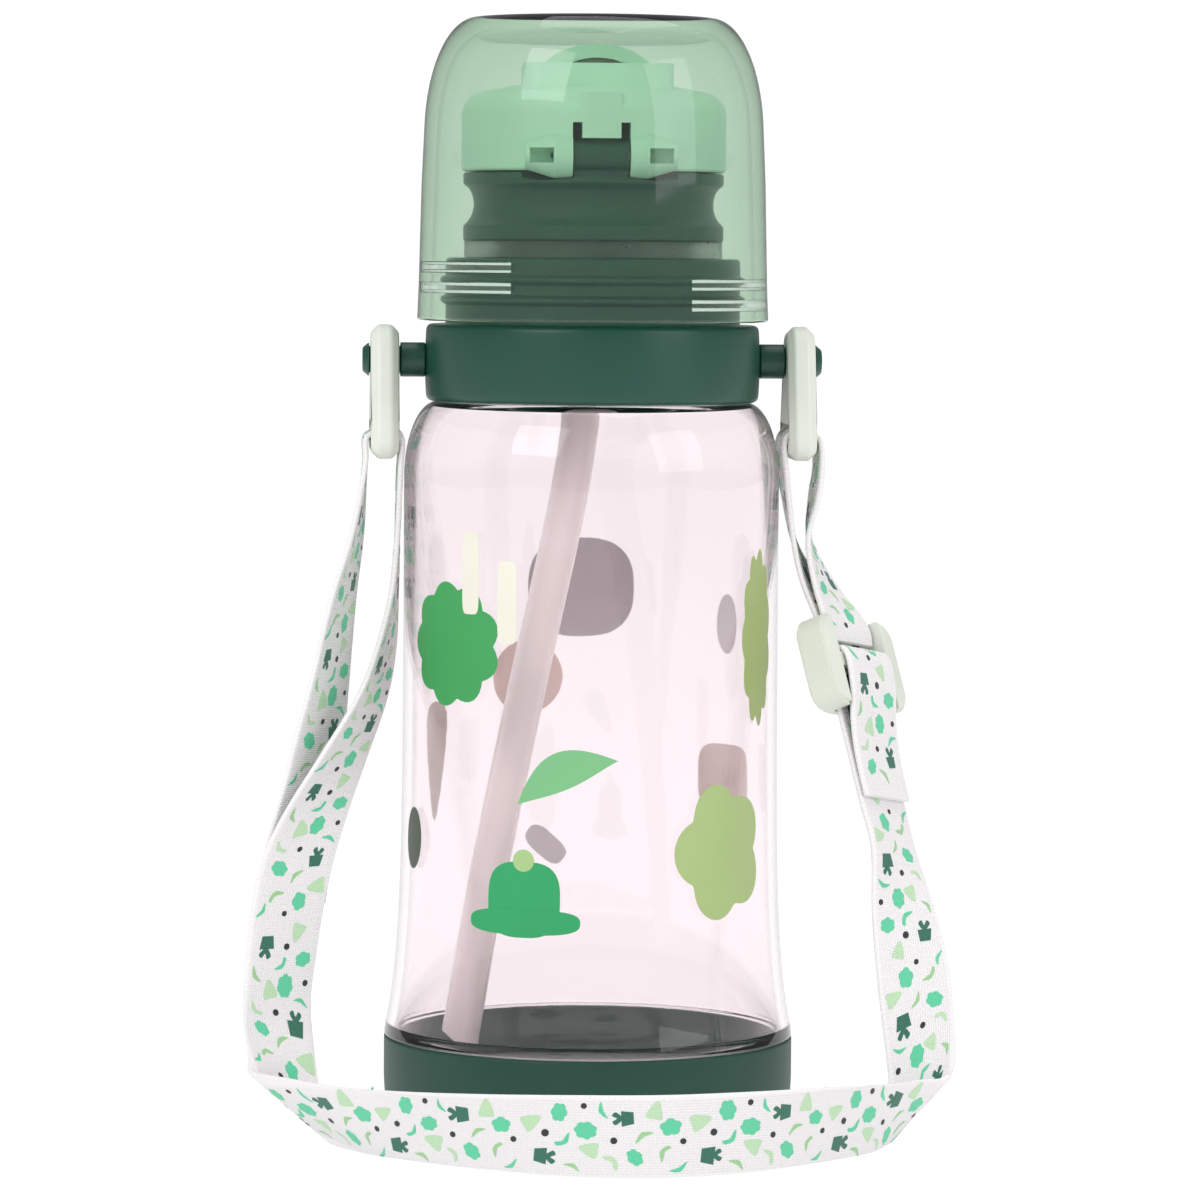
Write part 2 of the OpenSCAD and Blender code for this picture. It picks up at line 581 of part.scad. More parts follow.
left_end_route = [
    [-38.1, -7.5, 124.8, -38.1, 7.5, 124.8], [-41.3, -7.5, 123.6, -41.3, 7.5, 123.6],
    [-41.7, -8.4, 118, -41.5, 6.6, 118], [-44.2, -12.6, 106, -42, 2.2, 106],
    [-48, -18, 94.4, -43.4, -3.8, 94], [-51.6, -22.4, 80, -44.6, -9.2, 79.6],
    [-54.4, -25.4, 70, -45.4, -13.4, 69.4], [-57, -29.2, 60, -46.2, -19, 59],
    [-59.6, -32.6, 51, -47.6, -24.2, 50], [-61.2, -35.8, 42, -48.8, -28.2, 41]];

right_end_route = [
    [38.1, 7.5, 124.8, 38.1, -7.5, 124.8], [41.3, 7.5, 123.6, 41.3, -7.5, 123.6],
    [41.8, 7.5, 118, 41.8, -7.5, 118], [41, 7.4, 112, 41, -7.6, 112],
    [41, 7, 104.6, 39.2, -8, 105.2], [45, 3, 96.8, 39.8, -11, 98.4],
    [50.5, -3, 89.4, 41.3, -14.6, 91.6], [51.4, -4.5, 85.4, 42.2, -16.1, 87.6]];

// The strap follows its clips, the boot and the body's height: near the clips it only moves
// with them, lower down it spreads with the boot, and a wider webbing stays off the floor
function fitted_middle(m) = let (down = min(1, (124.8 - m[2]) / 50), up = min(1, m[2] / 110))
    [m[0] * clip_mid / 38.05, m[1] * (1 + (base_r / 37.6 - 1) * down),
     m[2] + (slot_z - 124.8) * up + 7.3 * max(0, strap_w / 15 - 1) * max(0, 1 - m[2] / 60)];
function fitted(rows) = [for (q = rows) let (
    a = [q[0], q[1], q[2]], b = [q[3], q[4], q[5]], m = fitted_middle((a + b) / 2),
    half = (b - a) / 2 * strap_w / 15)
    concat(m - half, m + half)];

module strap_main() { webbing(fitted(main_route)); }
module strap_left_end() { webbing(fitted(left_end_route)); }
module strap_right_end() { webbing(fitted(right_end_route)); }

// The straight run that the buckle slides on, and the buckle's own axes: across the
// webbing, up along it, and out of its face
run_low = fitted([[56.6, -14.2, 56.9, 47.4, -25.8, 59.1]])[0];
run_high = fitted([[49.4, -2.2, 88.9, 40.2, -13.8, 91.1]])[0];
function middle(q) = ([q[0], q[1], q[2]] + [q[3], q[4], q[5]]) / 2;
run_up = unit(middle(run_high) - middle(run_low));
run_out = unit(cross([run_low[0] - run_low[3], run_low[1] - run_low[4], run_low[2] - run_low[5]], run_up));
run_across = cross(run_up, run_out);
buckle_at = middle(run_low) + 0.75 * (middle(run_high) - middle(run_low));

module on_run() {
    multmatrix([[run_across[0], run_up[0], run_out[0], buckle_at[0]],
                [run_across[1], run_up[1], run_out[1], buckle_at[1]],
                [run_across[2], run_up[2], run_out[2], buckle_at[2]],
                [0, 0, 0, 1]]) children();
}

buckle_w = strap_w + 9.4;
buckle_l = 17.6;
bar_w = 2.6;                               // width of the buckle's middle bar
bar_back = strap_t * 1.5 + 0.4;            // the bar's underside above the main webbing
bar_front = bar_back + 1.8;
frame_back = -strap_t / 2 - 2;
frame_front = bar_front;

// Rounded rectangle
function pill(w, l, r) = concat(arc([w / 2 - r, l / 2 - r], r, 0, 90, 6),
    arc([r - w / 2, l / 2 - r], r, 90, 180, 6), arc([r - w / 2, r - l / 2], r, 180, 270, 6),
    arc([w / 2 - r, r - l / 2], r, 270, 360, 6));

module strap_buckle() {
    window_w = strap_w + 1.2;
    color([0.85, 0.86, 0.82]) on_run() {
        // end bars behind the webbing, side bars up to the middle bar
        difference() {
            union() {
                translate([0, 0, frame_back + 0.6]) linear_extrude(frame_front - frame_back - 1.2)
                    polygon(pill(buckle_w, buckle_l, 4));
                translate([0, 0, frame_back]) linear_extrude(frame_front - frame_back)
                    polygon(pill(buckle_w - 1.2, buckle_l - 1.2, 3.4));
            }
            translate([-window_w / 2, -buckle_l, -strap_t / 2 - 0.3])
                cube([window_w, 2 * buckle_l, 20]);
            translate([0, 0, frame_back - 1]) linear_extrude(20)
                polygon(pill(window_w, buckle_l - 6, 1.2));
        }
        translate([-window_w / 2 - 1, -bar_w / 2, bar_back])
            cube([window_w + 2, bar_w, bar_front - bar_back - 0.1]);
    }
}

// The webbing's end, wrapped over the buckle's middle bar and turned down over itself
module strap_tail() {
    w = strap_w / 2;
    back = strap_t + 0.2;
    front = bar_front + strap_t / 2 + 0.15;
    turn = bar_w / 2 + strap_t / 2 + 0.25;
    side = [[-7, back], [-2, back], [0.6, back + 0.05], [turn, (back + front) / 2 - 0.7],
            [turn, (back + front) / 2 + 0.7], [0.6, front], [-2, front], [-6, front - 0.6],
            [-11, back + 1.2], [-16, back + 0.4], [-21, back + 0.1], [-25.5, back + 0.05]];
    on_run() webbing([for (p = side) [w, p[0], p[1], -w, p[0], p[1]]]);
}

bottle_body();
base_boot();
collar();
body_seal();
stud_left();
stud_right();
drink_lid();
lid_gasket();
spout();
vent_valve();
straw_sleeve();
hinge_pin();
straw();
flip_cap();
cap_seal();
cap_insert();
cup();
clip_left();
clip_right();
strap_main();
strap_left_end();
strap_right_end();
strap_buckle();
strap_tail();
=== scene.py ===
"""The looks of a kids water bottle: clear body, soft boot, collar, lid, cap, cup, straw and printed strap."""

import math

import bmesh
import bpy
import numpy as np
from mathutils import Matrix, Vector
from mathutils.geometry import delaunay_2d_cdt

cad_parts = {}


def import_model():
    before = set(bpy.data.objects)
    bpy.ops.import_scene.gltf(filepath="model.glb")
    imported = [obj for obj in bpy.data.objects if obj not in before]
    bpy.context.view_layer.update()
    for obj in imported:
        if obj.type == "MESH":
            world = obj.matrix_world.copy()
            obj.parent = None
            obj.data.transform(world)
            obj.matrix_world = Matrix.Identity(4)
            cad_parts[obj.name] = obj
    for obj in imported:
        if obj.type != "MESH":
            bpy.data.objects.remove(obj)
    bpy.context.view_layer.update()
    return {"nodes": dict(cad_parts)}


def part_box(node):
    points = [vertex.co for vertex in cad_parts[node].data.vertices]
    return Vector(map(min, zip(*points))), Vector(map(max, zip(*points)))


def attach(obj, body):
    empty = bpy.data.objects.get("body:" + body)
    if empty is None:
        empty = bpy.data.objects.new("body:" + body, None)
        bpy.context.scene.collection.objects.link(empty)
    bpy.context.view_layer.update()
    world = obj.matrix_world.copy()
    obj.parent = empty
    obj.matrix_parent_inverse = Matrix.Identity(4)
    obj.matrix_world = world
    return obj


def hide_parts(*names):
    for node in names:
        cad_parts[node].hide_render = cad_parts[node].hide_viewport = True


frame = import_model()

MM = 0.001

# ---------------------------------------------------------------- sizes, in millimetres


def box_mm(node):
    """The lowest and highest corners of a CAD node as two arrays, in millimetres."""
    low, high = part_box(node)
    return np.array(low) / MM, np.array(high) / MM


boot_low, boot_high = box_mm("base_boot")
body_low, body_high = box_mm("bottle_body")
collar_low, collar_high = box_mm("collar")
cup_low, cup_high = box_mm("cup")

BASE_R = boot_high[0]
BOOT_H = boot_high[2]
BODY_Z = body_low[2]
INNER_Z = BODY_Z + 3
NECK_TOP = body_high[2]
BODY_H = NECK_TOP - 19
BODY_WALL = 1.8
FOOT_R = BASE_R - BODY_WALL - 0.1
WAIST_R = BASE_R - 3.2
NECK_R = 24.3
FLARE = 14
SHOULDER = 14
SHOULDER_IN = 6
COLLAR_Z = collar_low[2]
COLLAR_R = 30.65
COLLAR_NECK_R = 26.95
BAND_TOP = COLLAR_Z + 14.1
COLLAR_TOP = collar_high[2]
CUP_Z, CUP_TOP = cup_low[2], cup_high[2]
CUP_R = cup_high[0]
CUP_WALL = 2.4
LUG_R = 28.4
STRAW_TOP = COLLAR_TOP - 13.4
STRAW_TIP = INNER_Z + 4.4
STRAW_R = 3.5
STRAW_BORE_R = 2.5
STRAP_T = 1.0
STRAP_W = 15.0

# ---------------------------------------------------------------- camera, stage and lights


def camera():
    """Looks level with the bottle from a little to its left, with a long lens."""
    data = bpy.data.cameras.new("camera")
    data.lens, data.sensor_width = 166.5, 36
    data.clip_end = 20
    cam = bpy.data.objects.new("camera", data)
    bpy.context.scene.collection.objects.link(cam)
    turn, pitch, roll = math.radians(3.448), math.radians(-3.62), math.radians(0.41)
    ahead = Vector((math.sin(turn) * math.cos(pitch), math.cos(turn) * math.cos(pitch), math.sin(pitch)))
    facing = ahead.to_track_quat("-Z", "Y").to_matrix().to_4x4()
    cam.matrix_world = Matrix.Translation((-0.0595, -1.016, 0.158)) @ facing @ Matrix.Rotation(roll, 4, "Z")
    bpy.context.scene.camera = cam


def world():
    """White all round: full where it is seen directly or through the clear plastics, softer as light and
    weak in reflections, where the softboxes show instead."""
    w = bpy.data.worlds.new("studio")
    bpy.context.scene.world = w
    w.use_nodes = True
    nodes, links = w.node_tree.nodes, w.node_tree.links
    path = nodes.new("ShaderNodeLightPath")
    level = None
    for ray, strength in (("Is Glossy Ray", 0.3), ("Is Transmission Ray", 1.05), ("Is Camera Ray", 1.05)):
        step = nodes.new("ShaderNodeMix")
        links.new(path.outputs[ray], step.inputs[0])
        if level is None:
            step.inputs[2].default_value = 0.8
        else:
            links.new(level.outputs[0], step.inputs[2])
        step.inputs[3].default_value = strength
        level = step
    back = nodes["Background"]
    back.inputs["Color"].default_value = (1, 1, 1, 1)
    links.new(level.outputs[0], back.inputs["Strength"])


def softbox(name, place, size, watts, aim=(0, 0, 0.1)):
    """A square area light at a place, turned to the bottle."""
    data = bpy.data.lights.new(name, "AREA")
    data.shape, data.size, data.energy = "SQUARE", size, watts
    lamp = bpy.data.objects.new(name, data)
    bpy.context.scene.collection.objects.link(lamp)
    lamp.location = place
    lamp.rotation_euler = (Vector(aim) - Vector(place)).to_track_quat("-Z", "Y").to_euler()
    lamp.visible_camera = False
    lamp.visible_transmission = False


def plate(name, places, colour, glow=0.0):
    """A flat four-cornered stage piece, with a glow of its own."""
    mesh = bpy.data.meshes.new(name)
    mesh.from_pydata([Vector(c) for c in places], [], [(0, 1, 2, 3)])
    ob = bpy.data.objects.new(name, mesh)
    bpy.context.scene.collection.objects.link(ob)
    mat = bpy.data.materials.new(name)
    mat.use_nodes = True
    shader = mat.node_tree.nodes["Principled BSDF"]
    shader.inputs["Base Color"].default_value = (*colour, 1)
    shader.inputs["Roughness"].default_value = 0.9
    shader.inputs["Specular IOR Level"].default_value = 0.1
    shader.inputs["Emission Color"].default_value = (1, 1, 1, 1)
    shader.inputs["Emission Strength"].default_value = glow
    mesh.materials.append(mat)
    return ob


camera()
world()
softbox("key", (-0.9, -1.1, 1.0), 0.9, 7)
softbox("fill", (1.2, -0.9, 0.7), 0.9, 4)
softbox("top", (0.1, 0.2, 1.6), 1.2, 6)
FLOOR_HALF = 3
FLOOR_Z = -0.0004
plate("floor", [(x * FLOOR_HALF, y * FLOOR_HALF, FLOOR_Z) for x, y in ((-1, -1), (1, -1), (1, 1), (-1, 1))],
      (0.3, 0.3, 0.3), 0.75)
bpy.context.scene.view_settings.view_transform = "Standard"
for limit in ("max_bounces", "transmission_bounces", "transparent_max_bounces"):
    setattr(bpy.context.scene.cycles, limit, 24)

# ---------------------------------------------------------------- node groups and materials


def group(name, inputs, outputs):
    """An empty shader node group with named sockets; returns it and its input and output nodes."""
    tree = bpy.data.node_groups.new(name, "ShaderNodeTree")
    for label, kind, default in inputs:
        socket = tree.interface.new_socket(name=label, in_out="INPUT", socket_type=kind)
        if default is not None:
            socket.default_value = default
    for label, kind in outputs:
        tree.interface.new_socket(name=label, in_out="OUTPUT", socket_type=kind)
    return tree, tree.nodes.new("NodeGroupInput"), tree.nodes.new("NodeGroupOutput")


def node(tree, kind, links=None, **settings):
    """A node with plain settings; links gives its inputs, as values or as other nodes' outputs."""
    made = tree.nodes.new(kind)
    for key, value in settings.items():
        setattr(made, key, value)
    for key, value in (links or {}).items():
        if isinstance(value, bpy.types.NodeSocket):
            tree.links.new(value, made.inputs[key])
        else:
            made.inputs[key].default_value = value
    return made


def mould_group():
    """Moulded plastic: a fine spark-eroded grain, slow waves from cooling, and a little drift in tone."""
    tree, gin, gout = group(
        "moulded",
        [("Colour", "NodeSocketColor", (1, 1, 1, 1)), ("Grain size", "NodeSocketFloat", 0.0004),
         ("Drift", "NodeSocketFloat", 0.06), ("Gloss", "NodeSocketFloat", 0.35)],
        [("Colour", "NodeSocketColor"), ("Roughness", "NodeSocketFloat"), ("Height", "NodeSocketFloat")])
    place = node(tree, "ShaderNodeTexCoord")
    scale = node(tree, "ShaderNodeMath", {0: 1.0, 1: gin.outputs["Grain size"]}, operation="DIVIDE")
    grain = node(tree, "ShaderNodeTexNoise", {"Vector": place.outputs["Object"], "Scale": scale.outputs[0],
                                              "Detail": 3.0, "Roughness": 0.6})
    slow = node(tree, "ShaderNodeTexNoise", {"Vector": place.outputs["Object"], "Scale": 55.0, "Detail": 2.0})
    signed = node(tree, "ShaderNodeMapRange", {"Value": slow.outputs["Fac"], "From Min": 0.3, "From Max": 0.7,
                                               "To Min": -1.0, "To Max": 1.0})
    amount = node(tree, "ShaderNodeMath", {0: signed.outputs[0], 1: gin.outputs["Drift"]},
                  operation="MULTIPLY")
    value = node(tree, "ShaderNodeMath", {0: amount.outputs[0], 1: 1.0}, operation="ADD")
    toned = node(tree, "ShaderNodeHueSaturation", {"Value": value.outputs[0], "Color": gin.outputs["Colour"]})
    speckle = node(tree, "ShaderNodeMapRange",
                   {"Value": grain.outputs["Fac"], "To Min": -0.06, "To Max": 0.06})
    rough = node(tree, "ShaderNodeMath", {0: gin.outputs["Gloss"], 1: speckle.outputs[0]}, operation="ADD")
    waves = node(tree, "ShaderNodeMath", {0: slow.outputs["Fac"], 1: 1.5, 2: grain.outputs["Fac"]},
                 operation="MULTIPLY_ADD")
    tree.links.new(toned.outputs[0], gout.inputs["Colour"])
    tree.links.new(rough.outputs[0], gout.inputs["Roughness"])
    tree.links.new(waves.outputs[0], gout.inputs["Height"])
    return tree


def weave_group():
    """Woven webbing on the strap's own UV, in millimetres: ribs across it, warp threads along it, and
    flat selvedges. Its Shade is painted shade, darker where the weave's height is low."""
    tree, gin, gout = group(
        "woven",
        [("Rib", "NodeSocketFloat", 0.42), ("Warp", "NodeSocketFloat", 0.5), ("Width", "NodeSocketFloat", 15.0)],
        [("Height", "NodeSocketFloat"), ("Shade", "NodeSocketFloat")])
    uv = node(tree, "ShaderNodeUVMap", uv_map="cloth")
    parts = node(tree, "ShaderNodeSeparateXYZ", {0: uv.outputs["UV"]})
    across, along = parts.outputs["X"], parts.outputs["Y"]

    def wave(value, pitch, shift=0.0):
        """A sine of the given pitch, from -1 to 1."""
        turns = node(tree, "ShaderNodeMath", {0: value, 1: pitch}, operation="DIVIDE")
        angle = node(tree, "ShaderNodeMath", {0: turns.outputs[0], 1: 2 * math.pi, 2: shift},
                     operation="MULTIPLY_ADD")
        return node(tree, "ShaderNodeMath", {0: angle.outputs[0]}, operation="SINE").outputs[0]

    rib = wave(along, gin.outputs["Rib"])
    warp = wave(across, gin.outputs["Warp"])
    crossed = node(tree, "ShaderNodeMath", {0: rib, 1: warp}, operation="MULTIPLY")
    cloth = node(tree, "ShaderNodeMath", {0: crossed.outputs[0], 1: 0.6, 2: rib}, operation="MULTIPLY_ADD")
    side = node(tree, "ShaderNodeMath", {0: across}, operation="ABSOLUTE")
    half = node(tree, "ShaderNodeMath", {0: gin.outputs["Width"], 1: 0.5}, operation="MULTIPLY")
    from_edge = node(tree, "ShaderNodeMath", {0: half.outputs[0], 1: side.outputs[0]}, operation="SUBTRACT")
    selvedge = node(tree, "ShaderNodeMapRange", {"Value": from_edge.outputs[0], "From Min": 0.5, "From Max": 0.9,
                                                 "To Min": 0.0, "To Max": 1.0})
    tight = node(tree, "ShaderNodeMath", {0: wave(along, 0.84), 1: 0.8}, operation="MULTIPLY")
    mixed = node(tree, "ShaderNodeMix", {0: selvedge.outputs[0], 2: tight.outputs[0], 3: cloth.outputs[0]})
    fuzz = node(tree, "ShaderNodeTexNoise", {"Vector": uv.outputs["UV"], "Scale": 2.6, "Detail": 4.0})
    height = node(tree, "ShaderNodeMath", {0: fuzz.outputs["Fac"], 1: 0.7, 2: mixed.outputs[0]},
                  operation="MULTIPLY_ADD")
    # Painted shade: the cloth's colour darker where the weave's height is low
    shade = node(tree, "ShaderNodeMapRange", {"Value": height.outputs[0], "From Min": -1.2, "From Max": 1.8,
                                              "To Min": 0.93, "To Max": 1.0})
    tree.links.new(height.outputs[0], gout.inputs["Height"])
    tree.links.new(shade.outputs[0], gout.inputs["Shade"])
    return tree


MOULDED = mould_group()
WOVEN = weave_group()


def new_material(name, **sockets):
    """A material with its Principled shader's sockets set; returns the material, its tree and the shader."""
    mat = bpy.data.materials.new(name)
    mat.use_nodes = True
    shader = mat.node_tree.nodes["Principled BSDF"]
    for label, value in sockets.items():
        shader.inputs[label.replace("_", " ")].default_value = value
    return mat, mat.node_tree, shader


def bump(tree, shader, height, distance, strength=1.0):
    """Feeds a height, in units of distance, to the shader's normal."""
    made = node(tree, "ShaderNodeBump", {"Height": height, "Distance": distance, "Strength": strength})
    tree.links.new(made.outputs["Normal"], shader.inputs["Normal"])


def rgb(code):
    """A colour from its six hexadecimal digits, made linear."""
    values = [int(code[i:i + 2], 16) / 255 for i in (0, 2, 4)]
    return tuple(v / 12.92 if v <= 0.04045 else ((v + 0.055) / 1.055) ** 2.4 for v in values)


def moulded_plastic(name, colour, gloss, grain=0.0004, depth=0.00001, drift=0.05, **sockets):
    """Opaque moulded plastic or rubber with its grain and tone."""
    mat, tree, shader = new_material(name, **sockets)
    fine = node(tree, "ShaderNodeGroup", node_tree=MOULDED)
    fine.inputs["Colour"].default_value = (*rgb(colour), 1)
    fine.inputs["Grain size"].default_value = grain
    fine.inputs["Drift"].default_value = drift
    fine.inputs["Gloss"].default_value = gloss
    tree.links.new(fine.outputs["Colour"], shader.inputs["Base Color"])
    tree.links.new(fine.outputs["Roughness"], shader.inputs["Roughness"])
    bump(tree, shader, fine.outputs["Height"], depth)
    return mat


# Painted dark edges on clear plastic: dark surroundings seen in the wall, partly its longer path edge-on
PAINTED_EDGE_START = 0.72   # how far a clear wall turns away before its painted dark edge begins
PAINTED_EDGE_SHADE = 0.3    # what is left of its tint in the painted dark edge, where it is seen edge-on


def clear_plastic(name, tint, gloss, absorb=None, density=0.0, wave=0.000004, pass_light=1.0, **sockets):
    """See-through plastic: tinted at its faces, with painted shade where it is seen edge-on: a darker tint that stands
    in for dark surroundings seen in the wall, and partly for its longer path there. Where absorb is given, it is
    tinted by its depth. Lamps shine through."""
    mat, tree, shader = new_material(name, Transmission_Weight=1.0, IOR=1.49, **sockets)
    # painted shade: the tint darkens as the wall turns edge-on to the view
    facing = node(tree, "ShaderNodeLayerWeight", {"Blend": 0.5})
    edge = node(tree, "ShaderNodeMapRange",
                {"Value": facing.outputs["Facing"], "From Min": PAINTED_EDGE_START, "From Max": 1, "To Min": 0, "To Max": 1},
                interpolation_type="SMOOTHSTEP")
    colour = node(tree, "ShaderNodeMix", data_type="RGBA")
    tree.links.new(edge.outputs[0], colour.inputs[0])
    colour.inputs[6].default_value = (*tint, 1)
    colour.inputs[7].default_value = (*[t * PAINTED_EDGE_SHADE for t in tint], 1)
    tree.links.new(colour.outputs[2], shader.inputs["Base Color"])
    fine = node(tree, "ShaderNodeGroup", node_tree=MOULDED)
    fine.inputs["Gloss"].default_value = gloss
    fine.inputs["Grain size"].default_value = 0.004
    bump(tree, shader, fine.outputs["Height"], wave)
    smooth = node(tree, "ShaderNodeMapRange", {"Value": fine.outputs["Roughness"], "From Min": gloss - 0.06,
                                               "From Max": gloss + 0.06, "To Min": gloss * 0.6, "To Max": gloss * 1.4})
    tree.links.new(smooth.outputs[0], shader.inputs["Roughness"])
    path = node(tree, "ShaderNodeLightPath")
    share = node(tree, "ShaderNodeMath", {0: path.outputs["Is Shadow Ray"], 1: pass_light},
                 operation="MULTIPLY")
    open_way = node(tree, "ShaderNodeBsdfTransparent", {"Color": (*[t ** 0.4 for t in tint], 1)})
    mix = node(tree, "ShaderNodeMixShader", {0: share.outputs[0], 1: shader.outputs["BSDF"],
                                             2: open_way.outputs["BSDF"]})
    out = tree.nodes["Material Output"]
    tree.links.new(mix.outputs[0], out.inputs["Surface"])
    if absorb:
        depth = node(tree, "ShaderNodeVolumeAbsorption", {"Color": (*absorb, 1), "Density": density})
        tree.links.new(depth.outputs[0], out.inputs["Volume"])
    return mat


def webbing(name, colour):
    """White printed webbing: ribbed weave with painted shade in its low places, soft sheen."""
    mat, tree, shader = new_material(name, Roughness=0.62, Sheen_Weight=0.25, Sheen_Roughness=0.5)
    woven = node(tree, "ShaderNodeGroup", node_tree=WOVEN)
    shaded = node(tree, "ShaderNodeHueSaturation",
                  {"Value": woven.outputs["Shade"], "Color": (*rgb(colour), 1)})
    tree.links.new(shaded.outputs[0], shader.inputs["Base Color"])
    bump(tree, shader, woven.outputs["Height"], 0.00005, 0.8)
    return mat


def strap_ink(name):
    """Dye printed on the webbing: its colour is the piece's own attribute, and the weave shows through it,
    with painted shade in the weave's low places.
    """
    mat, tree, shader = new_material(name, Roughness=0.6, Sheen_Weight=0.15, Sheen_Roughness=0.5)
    ink = node(tree, "ShaderNodeAttribute", attribute_name="ink")
    woven = node(tree, "ShaderNodeGroup", node_tree=WOVEN)
    # painted shade from the weave darkens the ink in the weave's low places
    weave_shaded_ink = node(tree, "ShaderNodeHueSaturation",
                {"Value": woven.outputs["Shade"], "Color": ink.outputs["Color"]})
    tree.links.new(weave_shaded_ink.outputs[0], shader.inputs["Base Color"])
    bump(tree, shader, woven.outputs["Height"], 0.00004, 0.7)
    return mat


def body_ink(name):
    """Screen-printed ink on the clear body: its colour is the piece's own attribute, with a fine
    orange-peel skin."""
    mat, tree, shader = new_material(name, Specular_IOR_Level=0.4)
    ink = node(tree, "ShaderNodeAttribute", attribute_name="ink")
    skin = node(tree, "ShaderNodeGroup", node_tree=MOULDED)
    tree.links.new(ink.outputs["Color"], skin.inputs["Colour"])
    skin.inputs["Gloss"].default_value = 0.38
    skin.inputs["Drift"].default_value = 0.03
    tree.links.new(skin.outputs["Colour"], shader.inputs["Base Color"])
    tree.links.new(skin.outputs["Roughness"], shader.inputs["Roughness"])
    bump(tree, shader, skin.outputs["Height"], 0.000006)
    return mat


# These clear plastics carry the painted dark edges of clear_plastic
CLEAR = clear_plastic("clear_copolyester", (0.972, 0.915, 0.938), 0.03)
TINTED = clear_plastic("green_tinted_cup", (0.96, 0.985, 0.965), 0.03, (0.2, 0.5, 0.25), 150.0)
GASKET = clear_plastic("clear_silicone", (0.9, 0.93, 0.93), 0.3, wave=0.00004)
GREEN = moulded_plastic("dark_green_plastic", "14483b", 0.36, drift=0.05)
BOOT = moulded_plastic("dark_green_soft_rubber", "144437", 0.5, 0.0003, 0.00002)
MINT = moulded_plastic("mint_plastic", "cbe9d8", 0.38)
SAGE = moulded_plastic("pale_sage_plastic", "dde2d6", 0.42)
SILICONE = moulded_plastic("white_silicone", "e9e6e2", 0.55, 0.0005, 0.00002, Subsurface_Weight=0.2,
                           Subsurface_Scale=0.002)
RUBBER = moulded_plastic("grey_rubber", "7c8378", 0.6)
STRAW = moulded_plastic("milky_straw_plastic", "fdf4f2", 0.4, Transmission_Weight=0.3, IOR=1.15)
STEEL = moulded_plastic("pin_steel", "c8c9ca", 0.25, 0.0002, Metallic=1.0)
WEBBING = webbing("printed_webbing", "f1eeef")
STRAP_INK = strap_ink("strap_ink")
BODY_INK = body_ink("body_ink")

# ---------------------------------------------------------------- mesh helpers


def add_mesh(name, verts, faces, material, body, replaced=(), smooth_angle=35, uv=None, ink=None):
    """Links a mesh given in millimetres, shades it smooth up to an angle, and rides it on its CAD body."""
    mesh = bpy.data.meshes.new(name)
    mesh.from_pydata(np.asarray(verts) * MM, [], faces)
    if uv is not None:
        layer = mesh.uv_layers.new(name="cloth")
        corners = np.empty(len(mesh.loops), np.int32)
        mesh.loops.foreach_get("vertex_index", corners)
        layer.data.foreach_set("uv", np.asarray(uv, np.float32)[corners].ravel())
    if ink is not None:
        colours = mesh.attributes.new("ink", "FLOAT_COLOR", "POINT")
        colours.data.foreach_set("color", np.asarray(ink, np.float32).ravel())
    mesh.materials.append(material)
    mesh.shade_smooth()
    mesh.set_sharp_from_angle(angle=math.radians(smooth_angle))
    mesh.validate()
    ob = bpy.data.objects.new(name, mesh)
    bpy.context.scene.collection.objects.link(ob)
    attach(ob, body)
    if replaced:
        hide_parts(*replaced)
    return ob


def corners(*points):
    """An outline with rounded corners. Each point is (radius, height, rounding): a rounded corner becomes a
    quadratic curve between the two places where its sides are cut back."""
    p = np.array([q[:2] for q in points], float)
    cut = [q[2] if len(q) > 2 else 0.0 for q in points]
    out = []
    t = np.linspace(0, 1, 6)[:, None]
    for i, c in enumerate(p):
        if cut[i] == 0 or i in (0, len(p) - 1):
            out.append(c[None])
            continue
        before, after = p[i - 1] - c, p[i + 1] - c
        a = c + before / np.linalg.norm(before) * min(cut[i], np.linalg.norm(before) * 0.49)
        b = c + after / np.linalg.norm(after) * min(cut[i], np.linalg.norm(after) * 0.49)
        out.append((1 - t) ** 2 * a + 2 * t * (1 - t) * c + t ** 2 * b)
    return np.concatenate(out)


def cubic(a, b, c, d, n=24):
    """A cubic curve from a to d with handles b and c."""
    t = np.linspace(0, 1, n)[:, None]
    a, b, c, d = (np.array(q, float) for q in (a, b, c, d))
    return (1 - t) ** 3 * a + 3 * (1 - t) ** 2 * t * b + 3 * (1 - t) * t * t * c + t ** 3 * d


